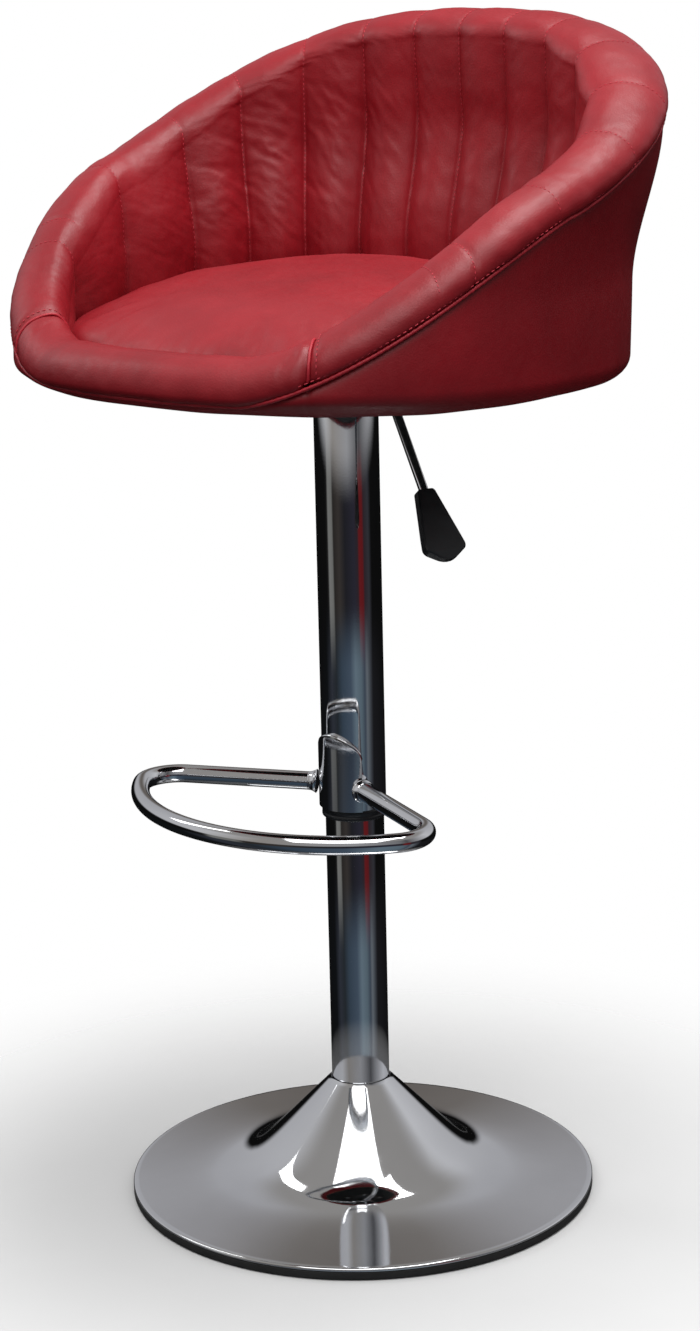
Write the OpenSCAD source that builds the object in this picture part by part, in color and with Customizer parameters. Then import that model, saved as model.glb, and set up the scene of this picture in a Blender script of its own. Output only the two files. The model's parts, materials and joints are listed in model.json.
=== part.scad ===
// Gas-lift bar stool with a padded bucket seat.
// Origin on the floor at the column's axis, front of the seat towards -Y, +Z up.
// Drawn at its highest setting: the gas spring is fully out.

/* [Floor dish] */
// Outside radius of the dish
dish_r = 205; // [180:1:240]
// Thickness of the dish's sheet
dish_wall = 2; // [1.5:0.1:3]
// Height of the neck where the column comes out
neck_z = 102; // [90:1:125]
// Fall of the neck for each millimetre outwards
neck_slope = 1.05; // [0.9:0.05:1.3]
// Fall of the outer dish for each millimetre outwards
dish_slope = 0.1; // [0.06:0.01:0.12]
// Roundness between the neck and the dish
neck_blend = 8; // [5:0.5:12]
// Height of the rolled edge at the rim
dish_lip = 3; // [2:0.5:5]
// Height of the rubber ring under the rim
ring_h = 8; // [6:0.5:12]
// Width of the rubber ring
ring_w = 13; // [10:0.5:18]
// Thickness of the ballast plate's hub
hub_t = 6; // [5:0.5:8]
// Radius of the ballast plate's hub
hub_r = 60; // [54:1:70]

/* [Column] */
// Outside diameter of the standing tube
tube_d = 50.8; // [46:0.1:58]
// Wall of the standing tube
tube_wall = 2; // [1.5:0.1:2.5]
// Height of the standing tube's top
tube_top_z = 438; // [420:1:440]
// Thickness of the foot disc welded to the tube
foot_t = 5; // [4:0.5:8]
// Radius of the circle of foot bolts
foot_bolt_circle = 44; // [40:0.5:46]
// Number of foot bolts
foot_bolts_n = 3; // [3:1:5]
// Diameter of the foot bolts
foot_bolt_d = 8; // [6:1:8]
// Outside diameter of the upper sleeve, as a gap outside the tube
sleeve_gap = 0.6; // [0.4:0.1:1.2]
// Wall of the upper sleeve
sleeve_wall = 1.5; // [1.2:0.1:2.5]
// Height of the sleeve's lower end
sleeve_z = 352; // [340:1:360]
// Height of the black bush below the sleeve
bush_h = 9; // [6:0.5:12]

/* [Gas spring] */
// Diameter of the piston rod
rod_d = 10; // [8:0.5:12]
// Outside diameter of the pressure tube
cylinder_d = 28; // [26:0.5:30]
// Wall of the pressure tube
cylinder_wall = 2; // [1.5:0.1:2.5]
// Travel of the lift, downwards from the height drawn
lift_travel = 210; // [160:1:210]
// Running clearance of turning and sliding fits, on the radius
fit = 0.05; // [0.02:0.01:0.1]

/* [Footrest] */
// Diameter of the footrest's bar
bar_d = 16; // [14:0.5:19]
// Height of the footrest's bar
bar_z = 372; // [366:1:384]
// How far the front of the bar's centre is from the column's axis
bar_reach = 186; // [160:1:220]
// Radius of the bar's front bow
bar_bow_r = 182; // [170:1:230]
// Radius of the bar's corners
bar_corner_r = 30; // [26:1:40]
// Angle of the arms, forwards from straight out sideways
bar_arm_angle = 25; // [18:1:32]
// Sheet thickness of the saddle that holds the bar
saddle_t = 3; // [2.5:0.5:5]
// Height of the saddle
saddle_h = 68; // [60:1:84]
// Height of the round at the saddle's top
saddle_round = 20; // [10:1:26]
// Half of the angle that the saddle wraps
saddle_half_angle = 56; // [50:1:76]

/* [Bucket seat] */
// Height of the seat's underside
seat_z = 730; // [728:1:760]
// Half width of the bucket at its foot
seat_half_w = 248; // [205:1:300]
// Distance from the bucket's middle to its front
seat_front = 229; // [210:1:245]
// Distance from the bucket's middle to its back
seat_back = 226; // [210:1:245]
// How far the bucket's middle is in front of the column
seat_offset = 32; // [20:1:44]
// Squareness of the front half of the outline
front_power = 2.3; // [2:0.1:3]
// Squareness of the back half of the outline
back_power = 2.5; // [2:0.1:3]
// Height of the front roll above the underside
front_h = 45; // [42:1:60]
// Height of the back above the underside
back_h = 290; // [240:1:350]
// Angle from the front at which the arms start to rise
arm_start = 22; // [12:1:30]
// Power of the arms' rise, lower is fuller
arm_power = 0.7; // [0.6:0.05:1]
// How far the top of the wall leans out
lean_out = 30; // [20:1:40]
// Height over which the wall flares, above its straight foot
flare_h = 130; // [90:1:180]
// Thickness of the padded rim at the front
rim_t = 54; // [46:1:65]
// Extra half thickness of the rim at the back
rim_spread = 11; // [0:1:14]
// How far the rim stands proud of the wall below it
rim_out = 4; // [0:1:8]
// How far the outer seam is below the middle of the rim
seam_drop = 4; // [2:1:16]
// Thickness of the outer cover
cover_t = 2; // [1.5:0.5:3]
// Thickness of the moulded shell
shell_t = 8; // [6:0.5:10]
// Thickness of the plywood board
board_t = 12; // [10:1:15]
// Crown of the cushion above its edge
cushion_crown = 26; // [16:1:36]
// Height of the cushion's front edge above the board
cushion_front = 23; // [20:1:30]
// Extra height of the cushion's back edge
cushion_rise = 43; // [16:1:46]

/* [Seat mounting] */
// Thickness of the pressed mounting pan
pan_t = 3; // [2.5:0.5:4]
// Depth of the pan below its flange
pan_depth = 28; // [26:1:36]
// Half width of the pan's box
pan_half = 40; // [36:1:46]
// Half width of the pan's flange
flange_half = 80; // [70:1:95]
// Half the distance between the seat bolts
bolt_half = 64; // [56:1:70]
// Diameter of the seat bolts
seat_bolt_d = 8; // [6:1:8]
// Outside diameter of the pan's socket
socket_d = 40; // [36:1:44]
// Length of the pan's socket
socket_h = 48; // [36:1:60]

/* [Lever] */
// Turn of the lever from straight out sideways, towards the front
lever_yaw = 20; // [0:1:30]
// Diameter of the lever's rod
lever_d = 8; // [6:0.5:9]
// Distance from the column's axis to the rod's bend
lever_bend_r = 75; // [62:1:84]
// Slope of the rod below its bend
lever_slope = 54; // [40:1:70]
// Length of the straight rod below its bend, up to the paddle
lever_drop = 80; // [60:1:100]
// Length of the paddle
paddle_l = 64; // [50:1:80]
// Width of the paddle at its end
paddle_w = 37; // [32:1:48]
// Thickness of the paddle
paddle_t = 9; // [8:0.5:12]

/* [Hidden] */
// gap between soft bodies and between faces that only meet
gap = 0.5;
// radii
tube_r = tube_d / 2;
tube_in = tube_r - tube_wall;
sleeve_in = tube_r + sleeve_gap;
sleeve_r = sleeve_in + sleeve_wall;
cyl_r = cylinder_d / 2;
cyl_in = cyl_r - cylinder_wall;
rod_r = rod_d / 2;
stub_r = rod_r - 1;
ring_in = dish_r - ring_w;
// heights of the stack inside the foot
hub_z = 15;
foot_z = hub_z + hub_t;
plug_z = foot_z + foot_t;
plug_h = 9;
race_z = plug_z + plug_h;
race_t = 2.5;
ball_r = 2;
upper_race_z = race_z + race_t + 2 * ball_r;
shoulder_z = upper_race_z + race_t;
race_r = 12;
ball_circle = 8.2;
balls_n = 9;
buffer_h = 12;
clip_z = plug_z - 1.5;
// heights of the gas spring
lowest_gap = 66;
cylinder_z = shoulder_z + buffer_h + lift_travel + lowest_gap;
gland_h = 14;
gland_z = cylinder_z + 2;
piston_z = gland_z + gland_h + 1;
piston_h = 14;
guide_h = 64;
guide_flange = 4;
// heights of the seat's stack
board_z = seat_z + cover_t;
board_top = board_z + board_t;
pan_z = board_z - pan_depth;
sleeve_top = pan_z - gap / 5;
cylinder_top = pan_z + pan_t + 3;
valve_h = 22;
pin_r = 3;
pin_top = cylinder_top + 4;
rocker_h = 8;
rocker_w = 12;
lever_z = pin_top + rocker_h / 2;
pivot_x = 30;
pivot_r = 2.5;
ear_t = 3;
// the bucket
pad_bulge = 5;
turn_steps = 60;
front_half_angle = 36;
wall_start = front_half_angle + 1;
// Clearance of a faceted soft piece from what it is drawn over, and the cover's tuck under the board.
soft_gap = 1.2;
tuck_w = 22;
edge_r = 16;
front_edge_w = 30;
front_edge_h = 22;
wall_foot = 76;
side_lean = 0.3;
// a bend is this much fatter than the straight bars that run into it
bend_swell = 0.05;
bend_lap = 1;

// Height of the dish's upper face at radius r: the neck's line and the dish's line, blended.
function dish_neck_line(r) = neck_z - neck_slope * (r - tube_r);
function dish_outer_line(r) = ring_h + dish_lip + dish_slope * (dish_r - r);
function dish_top(r) =
    let (a = dish_neck_line(r), b = dish_outer_line(r))
    (a + b) / 2 + sqrt(pow((a - b) / 2, 2) + pow(neck_blend, 2))
        - pow(neck_blend, 2) / abs(dish_neck_line(dish_r) - dish_outer_line(dish_r));
// The dish's lower face: the upper face moved by the wall, square to its slope.
function dish_slope_at(r) = (dish_top(r + 0.5) - dish_top(r - 0.5));
function dish_under(r) = dish_top(r) - dish_wall * sqrt(1 + pow(dish_slope_at(r), 2));
dish_radii = [for (i = [0 : 26]) tube_r + 0.3 + (dish_r - tube_r - 0.3) * i / 26];

module base_dish() {
    color("gainsboro")
    rotate_extrude($fn = 96)
    polygon(concat(
        [for (r = dish_radii) [r, dish_top(r)]],
        [[dish_r, ring_h], [dish_r - dish_wall, ring_h]],
        [for (i = [25 : -1 : 0]) [dish_radii[i], dish_under(dish_radii[i])]]));
}

module floor_ring() {
    color("black")
    rotate_extrude($fn = 96)
    polygon([[ring_in, 0], [dish_r - 1.5, 0], [dish_r, 1.5], [dish_r, ring_h],
        [dish_r - dish_wall - 4, ring_h], [dish_r - dish_wall - 4, 3], [ring_in, 3]]);
}

module ballast_plate() {
    plate_r = dish_r - dish_wall - 4.5;
    top_radii = [for (i = [0 : 10]) plate_r - (plate_r - hub_r - 12) * i / 10];
    color("dimgray")
    difference() {
        rotate_extrude($fn = 96)
        polygon(concat(
            [[race_r + 4, hub_z], [hub_r, hub_z], [hub_r + 4, 3 + gap], [plate_r, 3 + gap]],
            [for (r = top_radii) [r, min(foot_z, dish_under(r) - 1)]],
            [[race_r + 4, foot_z]]));
        foot_bolt_places() translate([0, 0, hub_z - 1])
            cylinder(d = foot_bolt_d + 1, h = hub_t + 2, $fn = 32);
    }
}

module foot_bolt_places() {
    for (i = [0 : foot_bolts_n - 1]) rotate([0, 0, 90 + i * 360 / foot_bolts_n])
        translate([foot_bolt_circle, 0, 0]) children();
}

module lower_tube() {
    color("silver")
    translate([0, 0, plug_z])
    difference() {
        cylinder(r = tube_r, h = tube_top_z - plug_z, $fn = 96);
        translate([0, 0, -1]) cylinder(r = tube_in, h = tube_top_z, $fn = 96);
    }
}

module column_foot() {
    color("silver")
    difference() {
        translate([0, 0, foot_z]) cylinder(r = hub_r - 4, h = foot_t, $fn = 96);
        translate([0, 0, foot_z - 1]) cylinder(r = race_r + 4, h = foot_t + 2, $fn = 64);
        foot_bolt_places() translate([0, 0, foot_z - 1]) cylinder(d = foot_bolt_d, h = foot_t + 2, $fn = 32);
    }
}

module foot_bolts() {
    head_h = 5.5;
    head_z = hub_z - 1.6 - head_h;
    color("gray")
    foot_bolt_places() {
        translate([0, 0, head_z]) cylinder(d = foot_bolt_d * 1.6, h = head_h, $fn = 6);
        translate([0, 0, head_z]) cylinder(d = foot_bolt_d, h = plug_z + 3 - head_z, $fn = 32);
    }
}

module foot_washers() {
    color("silver")
    foot_bolt_places() translate([0, 0, hub_z - 1.6])
    difference() {
        cylinder(d = foot_bolt_d * 2, h = 1.6, $fn = 48);
        translate([0, 0, -1]) cylinder(d = foot_bolt_d + 0.6, h = 4, $fn = 32);
    }
}

module tube_plug() {
    color("slategray")
    translate([0, 0, plug_z])
    difference() {
        cylinder(r = tube_in, h = plug_h, $fn = 96);
        translate([0, 0, -1]) cylinder(r = stub_r + fit, h = plug_h + 2, $fn = 48);
    }
}

module guide_bush() {
    color("black")
    difference() {
        union() {
            translate([0, 0, tube_top_z - guide_h]) cylinder(r = tube_in, h = guide_h, $fn = 96);
            translate([0, 0, tube_top_z]) cylinder(r = tube_r, h = guide_flange, $fn = 96);
        }
        translate([0, 0, tube_top_z - guide_h - 1])
        cylinder(r = cyl_r + fit, h = guide_h + guide_flange + 2, $fn = 96);
    }
}

module washer_race(z, bore) {
    color("lightsteelblue")
    translate([0, 0, z])
    difference() {
        cylinder(r = race_r, h = race_t, $fn = 64);
        translate([0, 0, -1]) cylinder(r = bore, h = race_t + 2, $fn = 48);
    }
}

module lower_race() {
    washer_race(race_z, stub_r + 4 * fit);
}

module upper_race() {
    washer_race(upper_race_z, stub_r);
}

module bearing_balls() {
    color("lightgray")
    for (i = [0 : balls_n - 1]) rotate([0, 0, i * 360 / balls_n])
        translate([ball_circle, 0, race_z + race_t + ball_r]) sphere(r = ball_r - 0.04, $fn = 24);
}

module ball_cage() {
    color("khaki")
    difference() {
        translate([0, 0, race_z + race_t + ball_r - 0.8]) cylinder(r = race_r - 0.5, h = 1.6, $fn = 64);
        translate([0, 0, race_z]) cylinder(r = stub_r + 0.3, h = 10, $fn = 48);
        for (i = [0 : balls_n - 1]) rotate([0, 0, i * 360 / balls_n])
            translate([ball_circle, 0, race_z]) cylinder(r = ball_r + 0.1, h = 10, $fn = 24);
    }
}

module piston_rod() {
    color("silver")
    union() {
        translate([0, 0, shoulder_z]) cylinder(r = rod_r, h = piston_z + piston_h + 4 - shoulder_z, $fn = 64);
        translate([0, 0, clip_z + 1.6]) cylinder(r = stub_r, h = shoulder_z - clip_z - 1.6, $fn = 48);
        translate([0, 0, clip_z]) cylinder(r = stub_r - 0.8, h = 1.6, $fn = 48);
        translate([0, 0, foot_z - 2]) cylinder(r = stub_r, h = clip_z - foot_z + 2, $fn = 48);
    }
}

module piston_head() {
    color("orange")
    difference() {
        translate([0, 0, piston_z]) cylinder(r = cyl_in - fit, h = piston_h, $fn = 64);
        translate([0, 0, piston_z - 1]) cylinder(r = rod_r, h = piston_h + 2, $fn = 64);
    }
}

module rod_clip() {
    color("dimgray")
    translate([0, 0, clip_z + 0.2])
    difference() {
        cylinder(r = stub_r + 3, h = 1.2, $fn = 48);
        translate([0, 0, -1]) cylinder(r = stub_r - 0.8, h = 4, $fn = 48);
        translate([0, -stub_r + 1.5, -1]) cube([stub_r + 4, 2 * stub_r - 3, 4]);
    }
}

module rubber_buffer() {
    color("black")
    translate([0, 0, shoulder_z])
    difference() {
        cylinder(r = race_r, h = buffer_h, $fn = 64);
        translate([0, 0, -1]) cylinder(r = rod_r, h = buffer_h + 2, $fn = 64);
    }
}

module pressure_tube() {
    color("dimgray")
    difference() {
        translate([0, 0, cylinder_z]) cylinder(r = cyl_r, h = cylinder_top - cylinder_z, $fn = 96);
        translate([0, 0, cylinder_z - 1]) cylinder(r = cyl_in, h = cylinder_top, $fn = 96);
    }
}

module tube_gland() {
    color("darkslategray")
    difference() {
        translate([0, 0, gland_z]) cylinder(r = cyl_in, h = gland_h, $fn = 64);
        translate([0, 0, gland_z - 1]) cylinder(r = rod_r + fit, h = gland_h + 2, $fn = 64);
    }
}

module release_valve() {
    color("goldenrod")
    difference() {
        translate([0, 0, cylinder_top - valve_h]) cylinder(r = cyl_in, h = valve_h, $fn = 64);
        translate([0, 0, cylinder_top - valve_h + 4]) cylinder(r = pin_r + fit, h = valve_h, $fn = 48);
    }
}

module upper_sleeve() {
    color("silver")
    difference() {
        translate([0, 0, sleeve_z]) cylinder(r = sleeve_r, h = sleeve_top - sleeve_z, $fn = 96);
        translate([0, 0, sleeve_z - 1]) cylinder(r = sleeve_in, h = sleeve_top, $fn = 96);
    }
}

// A collar under the sleeve's end with a thin skirt that runs up inside the sleeve.
module sleeve_bush() {
    color("black")
    difference() {
        union() {
            translate([0, 0, sleeve_z - bush_h]) cylinder(r = sleeve_r + 0.8, h = bush_h, $fn = 96);
            translate([0, 0, sleeve_z]) cylinder(r = sleeve_in, h = 24, $fn = 96);
        }
        translate([0, 0, sleeve_z - bush_h - 1]) cylinder(r = tube_r + fit, h = bush_h + 27, $fn = 96);
    }
}

// Footrest bar: an arm and a corner on each side, and the front bow between the corners.
bow_y = bar_bow_r - bar_reach;
arm_dir = [cos(bar_arm_angle), -sin(bar_arm_angle)];
arm_in = [-sin(bar_arm_angle), -cos(bar_arm_angle)];
arm_root = [sleeve_r * 0.85, -sleeve_r * 0.65];
corner_from_bow = arm_root + bar_corner_r * arm_in - [0, bow_y];
corner_along = -corner_from_bow * arm_dir
    + sqrt(pow(corner_from_bow * arm_dir, 2) - corner_from_bow * corner_from_bow
        + pow(bar_bow_r - bar_corner_r, 2));
corner = arm_root + bar_corner_r * arm_in + corner_along * arm_dir;
bow_angle = atan2(corner[1] - bow_y, corner[0]);

module bar_arc(centre, radius, swell, start, sweep) {
    translate([centre[0], centre[1], 0]) rotate([0, 0, start])
    rotate_extrude(angle = sweep, $fn = 96)
    translate([radius, 0]) circle(r = bar_d / 2 + swell, $fn = 32);
}

module bar_side() {
    lap = asin(bend_lap / bar_corner_r);
    translate([arm_root[0], arm_root[1], 0]) rotate([0, 0, -bar_arm_angle]) rotate([0, 90, 0])
        cylinder(d = bar_d, h = corner_along, $fn = 32);
    bar_arc(corner, bar_corner_r, bend_swell, bow_angle - lap, 90 - bar_arm_angle - bow_angle + 2 * lap);
}

module footrest_bar() {
    color("silver")
    difference() {
        translate([0, 0, bar_z]) union() {
            bar_side();
            mirror([1, 0, 0]) bar_side();
            bar_arc([0, bow_y], bar_bow_r, 0, -180 - bow_angle, 180 + 2 * bow_angle);
        }
        translate([0, 0, bar_z - bar_d]) cylinder(r = sleeve_r + saddle_t, h = 2 * bar_d, $fn = 96);
    }
}

// A bent plate round the front of the sleeve with a rounded top.
module footrest_saddle() {
    saddle_r = sleeve_r + saddle_t;
    half_w = saddle_r * sin(saddle_half_angle);
    color("silver")
    translate([0, 0, sleeve_z])
    intersection() {
        difference() {
            cylinder(r = saddle_r, h = saddle_h + 1, $fn = 96);
            translate([0, 0, -1]) cylinder(r = sleeve_r, h = saddle_h + 3, $fn = 96);
        }
        rotate([90, 0, 0]) linear_extrude(height = saddle_r + 10)
        polygon(concat([[-half_w, 0], [half_w, 0]],
            [for (a = [0 : 15 : 180])
                [half_w * signed_pow(cos(a), 0.6), saddle_h - saddle_round * (1 - pow(sin(a), 0.6))]]));
    }
}

module at_lever() {
    rotate([0, 0, -lever_yaw]) children();
}

module bolt_places() {
    for (x = [-bolt_half, bolt_half], y = [-bolt_half, bolt_half]) translate([x, y, 0]) children();
}

module mounting_pan() {
    box_half = pan_half + pan_t;
    color("#2a2a2a")
    difference() {
        union() {
            translate([-flange_half, -flange_half, board_z - pan_t])
                cube([2 * flange_half, 2 * flange_half, pan_t]);
            translate([-box_half, -box_half, pan_z]) cube([2 * box_half, 2 * box_half, pan_depth]);
        }
        translate([-pan_half, -pan_half, pan_z + pan_t]) cube([2 * pan_half, 2 * pan_half, pan_depth]);
        translate([0, 0, pan_z - 1]) cylinder(r = cyl_r, h = pan_t + 2, $fn = 96);
        bolt_places() translate([0, 0, board_z - pan_t - 1])
            cylinder(d = seat_bolt_d + 1, h = pan_t + 2, $fn = 32);
        at_lever() translate([pan_half - 16, -lever_d, pan_z + pan_t + 1])
            cube([40, 2 * lever_d, pan_depth - 2 * pan_t - 2]);
    }
}

module pan_socket() {
    color("#3a3a3a")
    difference() {
        translate([0, 0, pan_z - socket_h]) cylinder(d = socket_d, h = socket_h, $fn = 96);
        translate([0, 0, pan_z - socket_h - 1]) cylinder(r = cyl_r, h = socket_h + 2, $fn = 96);
    }
}

module seat_bolts() {
    head_h = 5;
    under = board_z - pan_t - 1.6;
    color("gray")
    bolt_places() {
        translate([0, 0, under - head_h]) cylinder(d = seat_bolt_d * 1.6, h = head_h, $fn = 6);
        translate([0, 0, under - head_h])
            cylinder(d = seat_bolt_d, h = head_h + 1.6 + pan_t + board_t - 2, $fn = 32);
    }
}

module seat_washers() {
    color("silver")
    bolt_places() translate([0, 0, board_z - pan_t - 1.6])
    difference() {
        cylinder(d = seat_bolt_d * 2, h = 1.6, $fn = 48);
        translate([0, 0, -1]) cylinder(d = seat_bolt_d + 0.6, h = 4, $fn = 32);
    }
}

module tee_nuts() {
    color("silver")
    bolt_places() difference() {
        union() {
            translate([0, 0, board_z + 2]) cylinder(d = seat_bolt_d + 3, h = board_t - 2, $fn = 32);
            translate([0, 0, board_top - 1.5]) cylinder(d = seat_bolt_d * 2.4, h = 1.5, $fn = 48);
        }
        translate([0, 0, board_z]) cylinder(d = seat_bolt_d, h = board_t + 2, $fn = 32);
    }
}

// A small channel inside the pan whose two ears hold the lever's pivot.
module lever_bracket() {
    ear_h = lever_z + 5 - pan_z - pan_t;
    color("silver")
    at_lever() difference() {
        translate([pivot_x - 7, -rocker_w / 2 - 0.4 - ear_t, pan_z + pan_t])
            cube([14, rocker_w + 0.8 + 2 * ear_t, ear_h]);
        translate([pivot_x - 8, -rocker_w / 2 - 0.4, pan_z + pan_t + 2])
            cube([16, rocker_w + 0.8, ear_h]);
        translate([pivot_x, -20, lever_z]) rotate([-90, 0, 0]) cylinder(r = pivot_r, h = 40, $fn = 48);
    }
}

module lever_pin() {
    half = rocker_w / 2 + 0.4 + ear_t + 1.5;
    color("lightgray")
    at_lever() translate([pivot_x, -half, lever_z]) rotate([-90, 0, 0])
        cylinder(r = pivot_r, h = 2 * half, $fn = 48);
}

module release_pin() {
    color("lightgray")
    translate([0, 0, cylinder_top - valve_h + 9])
        cylinder(r = pin_r, h = pin_top - 0.1 - (cylinder_top - valve_h + 9), $fn = 48);
}

module lever_rocker() {
    color("gray")
    at_lever() difference() {
        translate([-5, -rocker_w / 2, pin_top]) cube([pivot_x + 13, rocker_w, rocker_h]);
        translate([pivot_x, -20, lever_z]) rotate([-90, 0, 0]) cylinder(r = pivot_r + fit, h = 40, $fn = 48);
    }
}

// The rod: straight out of the rocker, a round bend, then down to the paddle.
lever_bend = 16;
bend_start = lever_bend_r - lever_bend * tan(lever_slope / 2);
rod_start = pivot_x + 8;
bend_end = [bend_start + lever_bend * sin(lever_slope), lever_z - lever_bend * (1 - cos(lever_slope))];

module lever_rod() {
    lap = asin(bend_lap / 2 / lever_bend);
    color("silver")
    at_lever() {
        translate([rod_start, 0, lever_z]) rotate([0, 90, 0])
            cylinder(d = lever_d, h = bend_start - rod_start, $fn = 32);
        translate([bend_start, 0, lever_z - lever_bend]) rotate([90, 0, 0])
        rotate([0, 0, 90 - lever_slope - lap])
        rotate_extrude(angle = lever_slope + 2 * lap, $fn = 64)
        translate([lever_bend, 0]) circle(r = lever_d / 2 + bend_swell, $fn = 32);
        translate([bend_end[0], 0, bend_end[1]]) rotate([0, 90 + lever_slope, 0])
            cylinder(d = lever_d, h = lever_drop, $fn = 32);
    }
}

// A flat paddle that widens to a round end, drawn along +X and then turned down.
module lever_paddle() {
    neck = paddle_w * 0.45;
    color("black")
    at_lever() translate([bend_end[0], 0, bend_end[1]]) rotate([0, lever_slope, 0])
    translate([lever_drop, 0, 0])
    hull() {
        for (s = [-1, 1]) {
            translate([3, s * (neck / 2 - 3), 0]) cylinder(r = 3, h = paddle_t - 2, center = true, $fn = 24);
            translate([3, s * (neck / 2 - 3), 0]) cylinder(r = 2, h = paddle_t, center = true, $fn = 24);
            translate([paddle_l - 13, s * (paddle_w / 2 - 6), 0])
                cylinder(r = 6, h = paddle_t - 2, center = true, $fn = 32);
            translate([paddle_l - 13, s * (paddle_w / 2 - 6), 0])
                cylinder(r = 5, h = paddle_t, center = true, $fn = 32);
        }
        translate([paddle_l - paddle_w / 2, 0, 0])
            cylinder(r = paddle_w / 2 - 1, h = paddle_t - 3, center = true, $fn = 32);
    }
}

// The bucket's outline at its foot: angle 0 is the front, 90 the +X side, 180 the back.
function signed_pow(v, p) = sign(v) * pow(abs(v), p);
function outline(t) =
    let (p = 2 / (cos(t) > 0 ? front_power : back_power), half = cos(t) > 0 ? seat_front : seat_back)
    [seat_half_w * signed_pow(sin(t), p), -seat_offset - half * signed_pow(cos(t), p)];
function outward(t) =
    let (a = outline(t - 0.5), b = outline(t + 0.5), d = b - a, n = norm(d))
    [-d[1] / n, d[0] / n] * -1;
// Heights that change round the bucket.
function arm_rise(t) =
    let (a = abs(t > 180 ? t - 360 : t), u = max(0, (a - arm_start) / (180 - arm_start)) * 180)
    pow((1 - cos(u)) / 2, arm_power);
function crest_z(t) = seat_z + front_h + (back_h - front_h) * arm_rise(t);
function rim_half(t) = rim_t / 2 - 3 * arm_rise(t);
function seam_z(t) = crest_z(t) - rim_half(t) - seam_drop * (2 - arm_rise(t));
// Half the thickness of the rim, and the width and height of the round at the bucket's foot.
function rim_wide(t) = rim_t / 2 + rim_spread * sqrt(arm_rise(t));
function front_share(t) = 1 - min(1, 2 * arm_rise(t));
function edge_w(t) = edge_r + (front_edge_w - edge_r) * front_share(t);
function edge_h(t) = edge_r + (front_edge_h - edge_r) * front_share(t);
// Outward lean of the wall at height z: none at the foot, then a smooth flare.
function ease(u) = let (v = min(1, max(0, u))) v * v * (3 - 2 * v);
function lean(t, z) =
    lean_out * (side_lean + (1 - side_lean) * arm_rise(t)) * ease((z - seat_z - wall_foot) / flare_h);
// A point of the bucket: d is the distance inwards from the wall's outer face at height z.
function bucket_point(t, d, z) =
    let (p = outline(t), n = outward(t), out = lean(t, z) - d)
    [p[0] + n[0] * out, p[1] + n[1] * out, z];

// Joins rings of points, each with the same count, into one closed solid.
module closed_loop(rings) {
    n = len(rings);
    m = len(rings[0]);
    polyhedron(points = [for (ring = rings) each ring],
        faces = [for (i = [0 : n - 1], j = [0 : m - 1])
            each let (a = i * m + j, b = i * m + (j + 1) % m,
                c = ((i + 1) % n) * m + (j + 1) % m, d = ((i + 1) % n) * m + j)
            [[a, b, c], [a, c, d]]], convexity = 8);
}

// The same for rings that don't close: each end is capped by rungs across its section.
// A falling loop splits its faces along the other diagonal, to match the face it lies against.
module open_loop(rings, falling = false) {
    n = len(rings);
    m = len(rings[0]);
    rungs = [for (j = [0 : ceil(m / 2) - 2])
        j + 1 == m - 2 - j ? [j, j + 1, m - 1 - j] : [j, j + 1, m - 2 - j, m - 1 - j]];
    polyhedron(points = [for (ring = rings) each ring],
        faces = concat(
            [for (i = [0 : n - 2], j = [0 : m - 1])
                each let (a = i * m + j, b = i * m + (j + 1) % m,
                    c = (i + 1) * m + (j + 1) % m, d = (i + 1) * m + j)
                falling ? [[a, b, d], [b, c, d]] : [[a, b, c], [a, c, d]]],
            [for (f = rungs) [for (k = [len(f) - 1 : -1 : 0]) f[k]]],
            [for (f = rungs) [for (k = f) (n - 1) * m + k]]), convexity = 8);
}

function around(section, angles) = [for (t = angles) [for (q = section(t)) bucket_point(t, q[0], q[1])]];
// Every soft piece turns at the same angles, so faces that lie along each other stay parallel.
turn_step = 360 / turn_steps;
wall_low = ceil((wall_start + 1) / turn_step);
front_high = floor((front_half_angle - 0.5) / turn_step);
ring_angles = [for (i = [0 : turn_steps - 1]) i * turn_step];
wall_angles = concat(
    [wall_start], [for (i = [wall_low : turn_steps - wall_low]) i * turn_step], [360 - wall_start]);
rim_angles = concat([front_half_angle + 0.15], wall_angles, [360 - front_half_angle - 0.15]);
front_angles = concat(
    [-front_half_angle], [for (i = [-front_high : front_high]) i * turn_step], [front_half_angle]);

// Sections, as [distance in from the outer face, height], going round each solid once.
// Angle round the foot's edge, from its lowest point, at which the outer seam cuts it.
function seam_angle(t) = acos(max(0, 1 - (seam_z(t) - gap / 2 - seat_z) / edge_h(t)));
// Heights of the wall's rows, as shares of its rise.
wall_shares = [0, 0.2, 0.5, 0.8, 1];
function cover_section(t) =
    let (top = seam_z(t) - gap / 2, foot = seat_z, w = edge_w(t), h = edge_h(t), turn = seam_angle(t),
        rise = max(0, top - foot - h), in_w = w - cover_t, in_h = h - cover_t)
    concat(
        [[w + tuck_w, foot]],
        [for (k = [0 : 4]) [w * (1 - sin(turn * k / 4)), foot + h * (1 - cos(turn * k / 4))]],
        [for (i = [1 : len(wall_shares) - 1]) let (u = wall_shares[i])
            [w * (1 - sin(turn)), foot + h * (1 - cos(turn)) + rise * u + u / 10]],
        [for (i = [len(wall_shares) - 1 : -1 : 1]) let (u = wall_shares[i])
            [w - in_w * sin(turn), foot + h - in_h * cos(turn) + rise * u + u / 10]],
        [for (k = [4 : -1 : 0]) [w - in_w * sin(turn * k / 4), foot + h - in_h * cos(turn * k / 4)]],
        [[w + tuck_w, foot + cover_t]]);

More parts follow.
